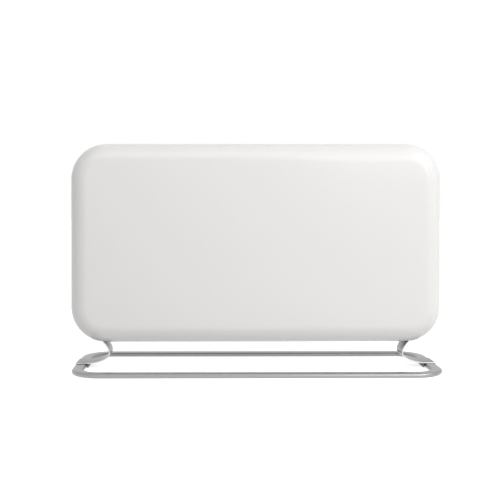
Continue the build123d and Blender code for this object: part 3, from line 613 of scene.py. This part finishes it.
def along_bottom(x, inset):
    """The length along the casing's outline of a point x on its bottom, on into both lower corners."""
    beyond = np.maximum(np.abs(x) - casing_side_x, 0)
    turned = casing_corner_r * np.arcsin(beyond / (casing_corner_r - inset))
    return bottom_start + casing_side_x + np.sign(x) * (np.minimum(np.abs(x), casing_side_x) + turned)


def casing_wrap(along, inset, depth):
    """Points of the casing in space from a length along its outline, an inset from it and a depth y."""
    x, z = rounded_track(along, *casing_size, inset)
    return np.stack([x, np.broadcast_to(depth, x.shape), casing_middle_z + z], axis=-1)


leg_gap = 0.0008
lean_stretch = 1.27
long_side_over = 0.02
long_side_steps = 18
strap_rise = bend[::-1][2 * strap_bend_steps :]


def strap_slot(sign, margin):
    """Loop round a leg where it leaves the casing, as lengths along and over: a rounded rectangle with points along
    its long sides, laid at the strap's own place at each height and stretched because the strap leans there."""
    loop = rounded_loop(strap_thickness / 2 + leg_gap + margin, strap_width / 2 + leg_gap + margin, leg_gap + margin, 4)
    step = np.roll(loop, -1, axis=0) - loop
    counts = np.where(np.linalg.norm(step, axis=1) > long_side_over, long_side_steps, 1)
    corner = np.repeat(np.arange(len(loop)), counts)
    share = (np.arange(len(corner)) - np.repeat(np.cumsum(counts) - counts, counts)) * (1 / long_side_steps)
    across, depth = (loop[corner] + step[corner] * share[:, None]).T
    inset = front_edge(over_front(depth))[0]
    middle_x = np.interp(casing_middle_z - casing_half_z + inset, strap_rise[:, 1], strap_rise[:, 0])
    return np.stack([along_bottom(sign * (middle_x + lean_stretch * across), inset), over_front(depth)], axis=1)


slot_half_length = 0.043
slot_half_width = 0.0025
slot_pitch = 0.098
slot_row_y = 0.005
slot_places = [(column * slot_pitch, y) for column in range(-2, 3) for y in (-slot_row_y, slot_row_y)]


def bottom_slot(x, y, margin):
    """Loop of a cold air slot in the bottom, as lengths along and over."""
    half_width = slot_half_width + margin
    loop = rounded_loop(slot_half_length + margin, half_width, half_width, 8)
    return np.stack([along_bottom(x + loop[:, 0], 0), over_front(y + loop[:, 1])], axis=1)


panel_x = -0.0236
panel_middle_y = -0.00625
panel_half_length = 0.043
panel_half_width = 0.01825
panel_turn_steps = 28
panel_straight = np.linspace(-0.0245, 0.0245, 15)[1:-1]


def panel_hole(margin):
    """Loop of the control panel's opening in the top, as lengths along and over: round ends and straight sides."""
    half_width = panel_half_width + margin
    loop = rounded_loop(panel_half_length + margin, half_width, half_width, panel_turn_steps)
    front = np.stack([panel_straight, np.full(len(panel_straight), -half_width)], axis=1)
    rear = front[::-1] * (1, -1)
    rear_at, front_at = len(loop) // 4 + 1, 3 * (len(loop) // 4) + 1
    loop = np.concatenate([loop[:rear_at], rear, loop[rear_at:front_at], front, loop[front_at:]])
    x, y = panel_x + loop[:, 0], panel_middle_y + loop[:, 1]
    return np.stack([top_start + casing_side_x - x, over_front(y)], axis=1)


def casing_stops(turn_steps, half_right, top, left, bottom):
    """Lengths along the casing's outline that take points: a number of steps to each turn, and of points to each
    half of the right side, to the top, to the left side and to the bottom."""
    stops = [turn_stops(*casing_size, turn_steps)]
    for side, count in enumerate((half_right, top, left, bottom, half_right)):
        stops.append(np.linspace(casing_lengths[2 * side], casing_lengths[2 * side + 1], count))
    stops = np.unique(np.round(np.concatenate(stops), 7))
    stops[-1] = casing_lengths[-1]
    return stops


front_cuts, front_clearances = (
    [panel_hole(margin), strap_slot(-1, margin), strap_slot(1, margin)]
    + [bottom_slot(x, y, margin) for x, y in slot_places]
    for margin in (0.0, net_margin)
)
flat_rows = [-0.006, -0.002]
edge_rows = np.linspace(0, front_edge_over, 25)
wall_rows = front_edge_over + np.array([0.003, 0.008, 0.014, 0.02, 0.026, 0.031, 0.0355])
front_rows = np.concatenate([flat_rows, edge_rows, wall_rows])
front_columns = casing_stops(turn_steps=24, half_right=6, top=132, left=11, bottom=106)
once_round, first_row, last_row = front_columns[-1], front_rows[0], front_rows[-1]
band_outline = np.array([(0, first_row), (once_round, first_row), (once_round, last_row), (0, last_row)])
band_points = np.stack(np.meshgrid(front_columns, front_rows), axis=-1).reshape(-1, 2)
net, faces = pierced_net(band_outline, front_cuts, band_points, front_clearances)
front_band = (casing_wrap(net[:, 0], *front_edge(net[:, 1])), faces.tolist())
cap_points = casing_wrap(front_columns[:-1], front_edge(first_row)[0], casing_front_y)
front_cap = (cap_points, [list(range(len(cap_points)))])


def press_sheet(piece):
    """Gives an open skin the shells' sheet thickness inwards, with square rims."""
    wall = piece.modifiers.new("wall", "SOLIDIFY")
    wall.thickness = shell_sheet
    wall.offset = -1
    wall.use_even_offset = True
    wall.use_rim = True
    settle(piece)


front_shell = make_piece("front_pressing", together(front_band, front_cap))
press_sheet(front_shell)
stand_for(front_shell, "casing", "white_enamel", "front_shell")
white_enamel = textured_finish(
    "white_enamel", moulded_grain, 260, 1.5e-6, ((0.80, 0.79, 0.775), 0.14), ((0.82, 0.81, 0.795), 0.17), {"IOR": 1.45}
)
dress(white_enamel, front_shell)


# Rear shell: a shallow pressed cover of the same enamelled steel. Rows of hoods pressed out of it let the hot air
# rise away, plain slots below take in cold air, and a joggled lip round its edge fits inside the front shell.
rear_y = 0.04
rear_edge_r = 0.011
vent_pitch = 0.104
hood_half_length = 0.046
hood_height = 0.009
hood_corner_r = 0.0045
hood_size = (hood_half_length, hood_height, hood_corner_r)
hood_rise = 0.0034
hood_slope = 0.0036
hood_collar = 0.0007
hood_row_gap = 0.013
middle_hood_z = 0.33
hood_places = [
    (column * vent_pitch, middle_hood_z + row * hood_row_gap) for column in range(-2, 3) for row in range(-2, 3)
]


def hood_loop(step_in):
    """Open half loop round a hood's sides and foot, moved inwards by step_in, its ends on the line of the slit."""
    stops = turn_stops(*hood_size, 7)
    lower = stops[stops > track_lengths(*hood_size)[5] - same_length]
    ends = hood_half_length - step_in
    return np.concatenate([[(-ends, 0)], np.stack(rounded_track(lower, *hood_size, step_in), axis=1), [(ends, 0)]])


hood_steps = np.array([-hood_collar, 0, 0.0005, 0.0010, 0.0015, 0.0020, 0.0025, 0.0030, hood_slope, 0.0041])
hood_share = np.clip(hood_steps / hood_slope, 0, 1)
hood_lift = rear_y + hood_rise * hood_share**2 * (3 - 2 * hood_share)
hood_rings = np.array([hood_loop(step) for step in hood_steps])
rows, columns = hood_rings.shape[:2]
hood_points = np.empty((rows, columns, 3))
hood_points[..., [0, 2]] = hood_rings
hood_points[..., 1] = hood_lift[:, None]
hood_faces = bridge(rows, columns, False) + [list(range((rows - 1) * columns, rows * columns))]
hoods = [(hood_points.reshape(-1, 3) + (x, 0, z), hood_faces) for x, z in hood_places]


def round_loop(radius, steps, inset=0.0):
    """Closed loop of points on a circle."""
    return rounded_loop(radius, radius, radius, steps, inset)


def at_depth(points, y):
    """Points (x, z) of an upright sheet as points in space at a depth y."""
    return np.stack([points[:, 0], np.full(len(points), y), points[:, 1]], axis=1)


inlet_half_width = 0.002
inlet_row_gap = 0.009
middle_inlet_z = 0.084
inlet_loop = rounded_loop(hood_half_length, inlet_half_width, inlet_half_width, 8)
inlet_places = [
    (column * vent_pitch, middle_inlet_z + row * inlet_row_gap) for column in range(-2, 3) for row in (-1, 0, 1)
]
screw_hole_r = 0.002
switch_hole = (0.00645, 0.0096, 0.0004)
gland_hole_r = 0.006
screw_places = [(x, z) for x in (-0.268, 0.268) for z in (0.104, 0.22, 0.342)]
switch_place = np.array([0.293, 0.122])
gland_place = np.array([0.293, 0.09])
rear_holes = [place + hood_rings[0] for place in hood_places]
rear_holes += [place + inlet_loop for place in inlet_places]
rear_holes += [place + round_loop(screw_hole_r, 8) for place in screw_places]
rear_holes.append(switch_place + rounded_loop(*switch_hole, 2))
rear_holes.append(gland_place + round_loop(gland_hole_r, 12))

lip_inset = 0.0014
seam_y = 0.028
edge_turn = np.radians(np.linspace(0, 90, 11))
edge_curve = [rear_edge_r * (1 - np.sin(edge_turn)), rear_y - rear_edge_r * (1 - np.cos(edge_turn))]
lip_profile = [(0, seam_y), (lip_inset, seam_y), (lip_inset, 0.0263), (lip_inset, 0.023)]
rear_profile = np.concatenate([[(0.015, rear_y), (0.0125, rear_y)], np.stack(edge_curve, axis=1), lip_profile])
rear_columns = casing_stops(turn_steps=20, half_right=5, top=22, left=9, bottom=22)[:-1]
rear_band = sleeve(casing_wrap(rear_columns[None], rear_profile[:, :1], rear_profile[:, 1:]))
sheet_loop = casing_wrap(rear_columns, rear_profile[0, 0], rear_y)[:, [0, 2]]
net, faces = pierced_net(sheet_loop, rear_holes)
rear_shell = make_piece("rear_pressing", together((at_depth(net, rear_y), faces.tolist()), rear_band, *hoods))
press_sheet(rear_shell)
stand_for(rear_shell, "casing", "white_enamel", "rear_shell")
dress(white_enamel, rear_shell)


# Shell screws: six pan-head screws with a cross recess, painted like the shells. They go through the rear shell and
# are run into the uprights' rear flanges.
head_r = 0.0038
head_height = 0.0024
head_round = 0.0009
head_dome = 0.0004
shank_r = 0.002
shank_ease = 0.0004
pole_r = 0.00002
head_steps = 96
cross_half_bar = 0.00048
cross_side_slope = 0.00012
cross_half_length = 0.0021
cross_end_slope = 0.0009
cross_depth = 0.0013


def cross_headed_screw(shank_end):
    """A pan head as a height over the polar plane, domed, rounded at its rim and sunk by a cross of two bars with
    sloping sides and ends, on a plain shank with an eased end."""
    flat_r = head_r - head_round
    rim = flat_r + head_round * np.sin(np.radians(np.linspace(15, 90, 7)))
    reach = np.concatenate([np.linspace(pole_r, 0.0026, 16), rim])[:, None] * np.ones(head_steps)
    fall = np.clip((reach - flat_r) / head_round, 0, 1)
    height = head_height - head_dome * (reach / head_r) ** 2 - head_round * (1 - np.sqrt(1 - fall**2))
    x, y = np.abs(spun(reach, 0)[..., :2]).transpose(2, 0, 1)
    sides = np.clip((cross_half_bar - np.minimum(x, y)) / cross_side_slope, 0, 1)
    ends = np.clip((cross_half_length - np.maximum(x, y)) / cross_end_slope, 0, 1)
    top = spun(reach, height - cross_depth * sides * ends)
    taper = (shank_r, shank_end + shank_ease), (shank_r - shank_ease, shank_end)
    shank = [(head_r, 0.0), (shank_r, 0.0), *taper, (pole_r, shank_end)]
    return loft(np.concatenate([top, turned_form(shank, head_steps)[0].reshape(-1, head_steps, 3)]))


white_fastener = textured_finish(
    "white_fastener", moulded_grain, 900, 4e-6, ((0.78, 0.77, 0.75), 0.28), ((0.81, 0.80, 0.78), 0.34), {"IOR": 1.5}
)
one_screw = cross_headed_screw(-0.0054)
screws = [placed(one_screw, (x, rear_y, z), "+Y") for x, z in screw_places]
shell_screws = settle(make_piece("shell_screw_set", together(*screws)), 40)
stand_for(shell_screws, "casing", "white_fastener", "shell_screws")
dress(white_fastener, shell_screws)


# Control panel: a glossy white plastic insert in the top, which carries on the casing's curve inside a thin dark
# gap and hangs on a lip under the steel. It has wells for four buttons and a ledge for the display window.
casing_top_z = casing_middle_z + casing_half_z
panel_gap = 0.0005
panel_thickness = 0.0027
panel_lip = 0.0035
lip_depth = 0.0012
ledge_depth = 0.0015
window_seat = (0.0125, 0.0055, 0.0015)
window_opening = (0.0105, 0.0035, 0.001)
button_y = 0.0005
button_places = {"power": -0.0315, "minus": -0.019, "plus": 0.019, "mode": 0.0315}
well_r = 0.0047
well_clear_r = 0.0056
well_steps = 12
window_steps = 6
rim_r = 0.0003
rim_clear = 0.0008
rim_turn = np.radians([0, 30, 60, 90])
rim = list(zip(rim_r * (1 - np.sin(rim_turn)), rim_r * (1 - np.cos(rim_turn))))


def top_height(y, depth):
    """Height of the casing's top at y, sunk by a depth: flat, then a quarter turn about the front edge's centre."""
    ahead = np.minimum(y - (casing_front_y + front_edge_r), 0)
    return casing_top_z - front_edge_r + np.sqrt((front_edge_r - depth) ** 2 - ahead**2)


def panel_ring(loop, depth):
    """A loop drawn on the panel's plan, laid at a depth under the casing's top."""
    return np.stack([loop[:, 0], loop[:, 1], top_height(loop[:, 1], depth)], axis=1)


def panel_outline(inset):
    """The panel's plan outline moved inwards, with points along its straight sides."""
    size = (panel_half_length - panel_gap, panel_half_width - panel_gap, panel_half_width - panel_gap)
    lengths = track_lengths(*size)
    straight = [np.linspace(lengths[i], lengths[i + 1], 14)[1:-1] for i in (2, 6)]
    stops = np.sort(np.concatenate([turn_stops(*size, panel_turn_steps), *straight]))
    u, v = rounded_track(stops, *size, inset)
    return np.stack([panel_x + u, panel_middle_y + v], axis=1)


def on_panel(offset, loop):
    """A loop moved to its place on the panel's plan."""
    return (panel_x + offset, button_y) + loop


def button_loops(radius, inset=0.0):
    """Round loops about the four buttons' places on the panel's plan."""
    return [on_panel(offset, round_loop(radius, well_steps, inset)) for offset in button_places.values()]


front_grid = np.meshgrid(np.linspace(-0.0655, 0.0185, 43), np.linspace(-0.0240, -0.0080, 9))
front_points = np.stack(front_grid, axis=-1).reshape(-1, 2)
front_points = front_points[inside(front_points, panel_outline(rim_r + rim_clear))]
top_holes = [*button_loops(well_r, -rim_r), on_panel(0, rounded_loop(*window_seat, window_steps, -rim_r))]
low_holes = [*button_loops(well_r), on_panel(0, rounded_loop(*window_opening, window_steps))]
panel_skins = []
for outline, holes, depth in (
    (panel_outline(rim_r), top_holes, 0.0),
    (panel_outline(-panel_lip), low_holes, panel_thickness),
):
    net, faces = pierced_net(outline, holes, front_points, button_loops(well_clear_r))
    panel_skins.append((panel_ring(net, depth), faces.tolist()))
edge_stack = [*rim, (0, lip_depth), (-panel_lip, lip_depth), (-panel_lip, panel_thickness)]
panel_walls = [[panel_ring(panel_outline(inset), depth) for inset, depth in edge_stack]]
well_stack = [(-inset, depth) for inset, depth in rim] + [(0, panel_thickness)]
well_loops = [[panel_ring(loop, depth) for loop in button_loops(well_r, inset)] for inset, depth in well_stack]
panel_walls += list(zip(*well_loops))
window_stack = [(window_seat, -inset, depth) for inset, depth in rim] + [(window_seat, 0, ledge_depth)]
window_stack += [(window_opening, 0, ledge_depth), (window_opening, 0, panel_thickness)]
panel_walls.append(
    [panel_ring(on_panel(0, rounded_loop(*size, window_steps, inset)), depth) for size, inset, depth in window_stack]
)
panel_skins += [sleeve(np.array(wall)) for wall in panel_walls]
control_panel = settle(make_piece("control_panel_insert", together(*panel_skins)))
stand_for(control_panel, "casing", "white_plastic", "control_panel")
white_plastic = textured_finish(
    "white_plastic", moulded_grain, 700, 2e-6, ((0.79, 0.785, 0.77), 0.16), ((0.81, 0.805, 0.79), 0.22), {"IOR": 1.49}
)
dress(white_plastic, control_panel)

# Display window: a polished plate of dark tinted plastic with eased edges. It is seated on the panel's ledge, over
# the display block.
polished = {"IOR": 1.5, "Coat Weight": 0.5}
dark_window = textured_finish(
    "dark_window", moulded_grain, 40, 0.0, ((0.010, 0.011, 0.013), 0.04), ((0.014, 0.015, 0.018), 0.07), polished
)
window = eased_copy("display_window", 0.00025)
stand_for(window, "casing", "dark_window", "display_window")
dress(dark_window, window)

# Push buttons: four caps moulded of the panel's white plastic, with a dished top and a hidden flange and stem. Each
# is printed in grey with a plain sign and slides in its well.
cap_r = 0.0045
cap_top = casing_top_z + 0.0005
flange_top, flange_foot, stem_foot = 0.3905, 0.3890, 0.3850
sign_rise = 0.00004
cap_profile = [
    (0, cap_top - 0.00022),
    (0.0012, cap_top - 0.00020),
    (0.0024, cap_top - 0.00012),
    (0.0034, cap_top - 0.00003),
    (0.0039, cap_top),
    (0.0042, cap_top - 0.00005),
    (0.0044, cap_top - 0.00018),
    (cap_r, cap_top - 0.00038),
    (cap_r, flange_top),
    (0.0056, flange_top),
    (0.0056, flange_foot),
    (0.002, flange_foot),
    (0.002, stem_foot),
    (0, stem_foot),
]
dish_r, dish_z = np.array(cap_profile[:5]).T


def on_dish(points, lift):
    """Points of a plan laid on a button's dished top, with a lift."""
    return np.column_stack([points, np.interp(np.hypot(points[:, 0], points[:, 1]), dish_r, dish_z) + lift])


def printed(loop):
    """A thin raised print on a button's dished top: the loop's net laid on the dish and given a foot inside the cap."""
    net, faces = pierced_net(loop)
    faces = faces.tolist()
    wall = sleeve(np.array([on_dish(loop, sign_rise), on_dish(loop, -sign_rise)]))
    return together((on_dish(net, sign_rise), faces), (on_dish(net, -sign_rise), faces), wall)


def bar_sign(half_u, half_v, middle=(0, 0)):
    """A print in the form of a short rounded bar."""
    return printed(middle + rounded_loop(half_u, half_v, min(half_u, half_v), 5))


def arc_sign(radius, half_width, first, last):
    """A print in the form of an arc of a ring between two angles in degrees."""
    turn = np.radians(np.linspace(first, last, 33))
    ray = np.stack([np.cos(turn), np.sin(turn)], axis=1)
    return printed(np.concatenate([(radius + half_width) * ray, (radius - half_width) * ray[::-1]]))


half_line = 0.00018
plus_arm = 0.0012
arm = np.array([(half_line, half_line), (half_line, plus_arm), (-half_line, plus_arm)])
plus_loop = np.concatenate([arm, arm[:, ::-1] * (-1, 1), -arm, arm[:, ::-1] * (1, -1)])
signs = {
    "power": [arc_sign(0.0012, half_line, 122, 418), bar_sign(half_line, 0.0006, (0, 0.0011))],
    "minus": [bar_sign(plus_arm, half_line)],
    "plus": [printed(plus_loop)],
    "mode": [bar_sign(0.0011, half_line, (0, lift)) for lift in (-0.0008, 0, 0.0008)],
}
printed_grey = textured_finish(
    "printed_grey", moulded_grain, 3000, 1e-6, ((0.10, 0.10, 0.105), 0.42), ((0.13, 0.13, 0.135), 0.50), {"IOR": 1.45}
)
for name, offset in button_places.items():
    place = (panel_x + offset, button_y, 0)
    cap = settle(make_piece(name + "_cap", placed(turned_form(cap_profile, 64), place)))
    stand_for(cap, name + "_button", "white_plastic", name + "_button")
    dress(white_plastic, cap)
    sign = settle(make_piece(name + "_sign", placed(together(*signs[name]), place)), 60)
    stand_for(sign, name + "_button", "black_plastic")
    dress(printed_grey, sign)


# Main switch: a black moulded frame snapped into the rear shell, with a pin across it and two blades behind for the
# leads. The rocker is moulded of the same plastic, and tips on the pin.
matt = {"IOR": 1.46}
black_plastic = textured_finish(
    "black_plastic", moulded_grain, 2200, 8e-6, ((0.016, 0.016, 0.017), 0.38), ((0.026, 0.026, 0.027), 0.5), matt
)
bezel_rows = [
    (0.0060, 0.0090, 0.0004, 0.0250),
    (0.00645, 0.0096, 0.0004, 0.0255),
    (0.00645, 0.0096, 0.0004, 0.0400),
    (0.00745, 0.0106, 0.0010, 0.0400),
    (0.00745, 0.0106, 0.0010, 0.0409),
    (0.00735, 0.0105, 0.0010, 0.04135),
    (0.00705, 0.0102, 0.0010, 0.0417),
    (0.00665, 0.0098, 0.0010, 0.0418),
    (0.0058, 0.0088, 0.0006, 0.0418),
    (0.00535, 0.0083, 0.0005, 0.0417),
    (0.00525, 0.0082, 0.0004, 0.0414),
    (0.00525, 0.0082, 0.0004, 0.0300),
]
bezel_loops = [at_depth(switch_place + rounded_loop(*size, 5), y) for *size, y in bezel_rows]
switch_pieces = [loft(np.array(bezel_loops))]
pin_r, pin_length, pin_y = 0.0012, 0.0115, 0.0368
pin = turned_form([(0, 0.0), (pin_r, 0.0), (pin_r, pin_length), (0, pin_length)], 32)
switch_pieces.append(placed(pin, (switch_place[0] - pin_length / 2, pin_y, switch_place[1]), "+X"))
blade_size = (0.00315, 0.0004, 0.0002)
blade_back, blade_root = 0.017, 0.0252
for offset in (-0.0035, 0.0035):
    blade_loop = switch_place + (0, offset) + rounded_loop(*blade_size, 2)
    switch_pieces.append(loft(np.array([at_depth(blade_loop, y) for y in (blade_back, blade_root)])))
switch_frame = settle(make_piece("switch_bezel", together(*switch_pieces)))
stand_for(switch_frame, "casing", "black_plastic", "switch_frame")
dress(black_plastic, switch_frame)
rocker = eased_copy("switch_rocker", 0.0004, 25)
stand_for(rocker, "rocker", "black_plastic", "switch_rocker")
dress(black_plastic, rocker)

# Cord inlet: a flanged bush moulded of the same black plastic and pressed into a round hole in the rear shell. Its
# bore is plain and open, for a lead of seven millimetres.
inlet_profile = [
    (0.0038, 0.0352),
    (0.0041, 0.0348),
    (0.0072, 0.0348),
    (0.0075, 0.0351),
    (0.0075, 0.0388),
    (0.0060, 0.0388),
    (0.0060, 0.0400),
    (0.0085, 0.0400),
    (0.0085, 0.0403),
    (0.0079, 0.0414),
    (0.0074, 0.0420),
    (0.0055, 0.0429),
    (0.0048, 0.0432),
    (0.0043, 0.0431),
    (0.0039, 0.0427),
    (0.0038, 0.0421),
    (0.0038, 0.0352),
]
inlet = turned_form(inlet_profile, 56)
cord_inlet = settle(make_piece("cord_bush", placed(inlet, (gland_place[0], 0, gland_place[1]), "+Y")))
stand_for(cord_inlet, "casing", "black_plastic", "cord_inlet")
dress(black_plastic, cord_inlet)


# Inner parts, seen only through the louvres and slots: the element and its bushes, the cut-out, the control tray with
# its board and display block, the power box with its parts, the tilt switch and the room sensor. They keep their CAD
# forms.
inner_finishes = {
    "fin_alloy": (drawn_lines, 1800, 4e-6, ((0.50, 0.50, 0.50), 0.34), ((0.62, 0.62, 0.62), 0.46), bare_metal),
    "ceramic": (moulded_grain, 1600, 1e-5, ((0.74, 0.71, 0.64), 0.55), ((0.82, 0.79, 0.72), 0.68), {"IOR": 1.5}),
    "board_green": (moulded_grain, 900, 3e-6, ((0.012, 0.10, 0.035), 0.30), ((0.02, 0.14, 0.05), 0.42), {"IOR": 1.5}),
    "winding_yellow": (drawn_lines, 900, 8e-6, ((0.60, 0.44, 0.08), 0.38), ((0.72, 0.55, 0.12), 0.5), {"IOR": 1.45}),
    "capacitor_can": (moulded_grain, 600, 2e-6, ((0.05, 0.055, 0.09), 0.28), ((0.07, 0.075, 0.11), 0.4), {"IOR": 1.5}),
    "terminal_plastic": (moulded_grain, 1800, 6e-6, ((0.03, 0.14, 0.05), 0.4), ((0.05, 0.18, 0.07), 0.52), matt),
    "bob_brass": (drawn_lines, 2400, 3e-6, ((0.62, 0.44, 0.19), 0.26), ((0.72, 0.53, 0.26), 0.38), bare_metal),
    "sensor_bead": (moulded_grain, 1200, 6e-6, ((0.03, 0.03, 0.032), 0.45), ((0.05, 0.05, 0.052), 0.6), {"IOR": 1.5}),
}
inner_nodes = {
    "fin_alloy": ["heating_element"],
    "ceramic": ["left_element_bush", "right_element_bush"],
    "board_green": ["control_board", "power_board"],
    "winding_yellow": ["transformer"],
    "capacitor_can": ["smoothing_capacitor"],
    "terminal_plastic": ["terminal_block"],
    "bob_brass": ["tilt_pendulum"],
    "sensor_bead": ["room_sensor"],
}
for name, finish in inner_finishes.items():
    dress(textured_finish(name, *finish), *as_packed(*inner_nodes[name]))
dress(black_plastic, *as_packed("control_tray", "power_box", "relay", "display_block", "thermal_cutout"))
dress(black_plastic, *as_packed("tilt_switch_case", "sensor_clip"))


# Studio: a pale floor that takes the heater's shadow, a white surround, and three large soft lights: high on the
# right, in front on the right, and close above in front. The floor and the surround are white to the eye and in
# polished surfaces, and light the heater gently.
def white_when_seen(tree):
    """A mask that is 1 for what the camera sees, straight, in a reflection or through a window, and 0 for light."""
    path = put(tree, "LightPath")
    either = put(tree, "Math", operation="MAXIMUM")
    wire(tree, path, "Is Camera Ray", either, 0)
    wire(tree, path, "Is Glossy Ray", either, 1)
    seen = put(tree, "Math", operation="MAXIMUM")
    wire(tree, either, "Value", seen, 0)
    wire(tree, path, "Is Transmission Ray", seen, 1)
    return seen


floor_half_side = 12
floor_lift_strength = 0.72
surround_strength = 0.45
white = (1, 1, 1, 1)

pale_floor, tree, floor_surface = new_finish(
    "pale_floor", {"Base Color": (0.8, 0.8, 0.8, 1), "Roughness": 0.6, "Specular IOR Level": 0.2}
)
floor_glow = put(tree, "Emission", {"Color": white})
floor_lift = put(tree, "Math", {1: floor_lift_strength}, operation="MULTIPLY")
floor_sum = put(tree, "AddShader")
wire(tree, white_when_seen(tree), "Value", floor_lift, 0)
wire(tree, floor_lift, "Value", floor_glow, "Strength")
wire(tree, floor_surface, "BSDF", floor_sum, 0)
wire(tree, floor_glow, "Emission", floor_sum, 1)
wire(tree, floor_sum, "Shader", first_node(tree, "OUTPUT_MATERIAL"), "Surface")
floor_points = np.array([(-1, -1, 0), (1, -1, 0), (1, 1, 0), (-1, 1, 0)], float) * floor_half_side
floor = make_piece("floor", (floor_points, [[0, 1, 2, 3]]))
dress(pale_floor, floor)

world = bpy.data.worlds.new("surround")
world.use_nodes = True
bpy.context.scene.world = world
tree = world.node_tree
tree.nodes.clear()
surround_light = put(tree, "Background", {"Color": white, "Strength": surround_strength})
surround_shown = put(tree, "Background", {"Color": white, "Strength": 1.0})
surround = put(tree, "MixShader")
wire(tree, white_when_seen(tree), "Value", surround, "Fac")
wire(tree, surround_light, "Background", surround, 1)
wire(tree, surround_shown, "Background", surround, 2)
wire(tree, surround, "Shader", put(tree, "OutputWorld"), "Surface")


def soft_light(name, place, aim, width, height, power):
    """A rectangular area light turned to a point."""
    light = bpy.data.lights.new(name, "AREA")
    light.shape = "RECTANGLE"
    light.size, light.size_y = width, height
    light.energy = power
    lamp = new_object(name, light)
    lamp.location = place
    lamp.rotation_euler = (Vector(aim) - Vector(place)).to_track_quat("-Z", "Y").to_euler()


soft_light("key", (1.37, -0.67, 1.35), (0.2, 0, 0.25), 1.4, 0.9, 8.8)
soft_light("front_right", (0.9, -1.6, 0.9), (0, 0, 0.2), 1.4, 1.0, 9.6)
soft_light("overhead", (0, -0.6, 0.95), (0, 0, 0.3), 1.8, 0.5, 2.6)

bpy.context.scene.view_settings.view_transform = "Standard"
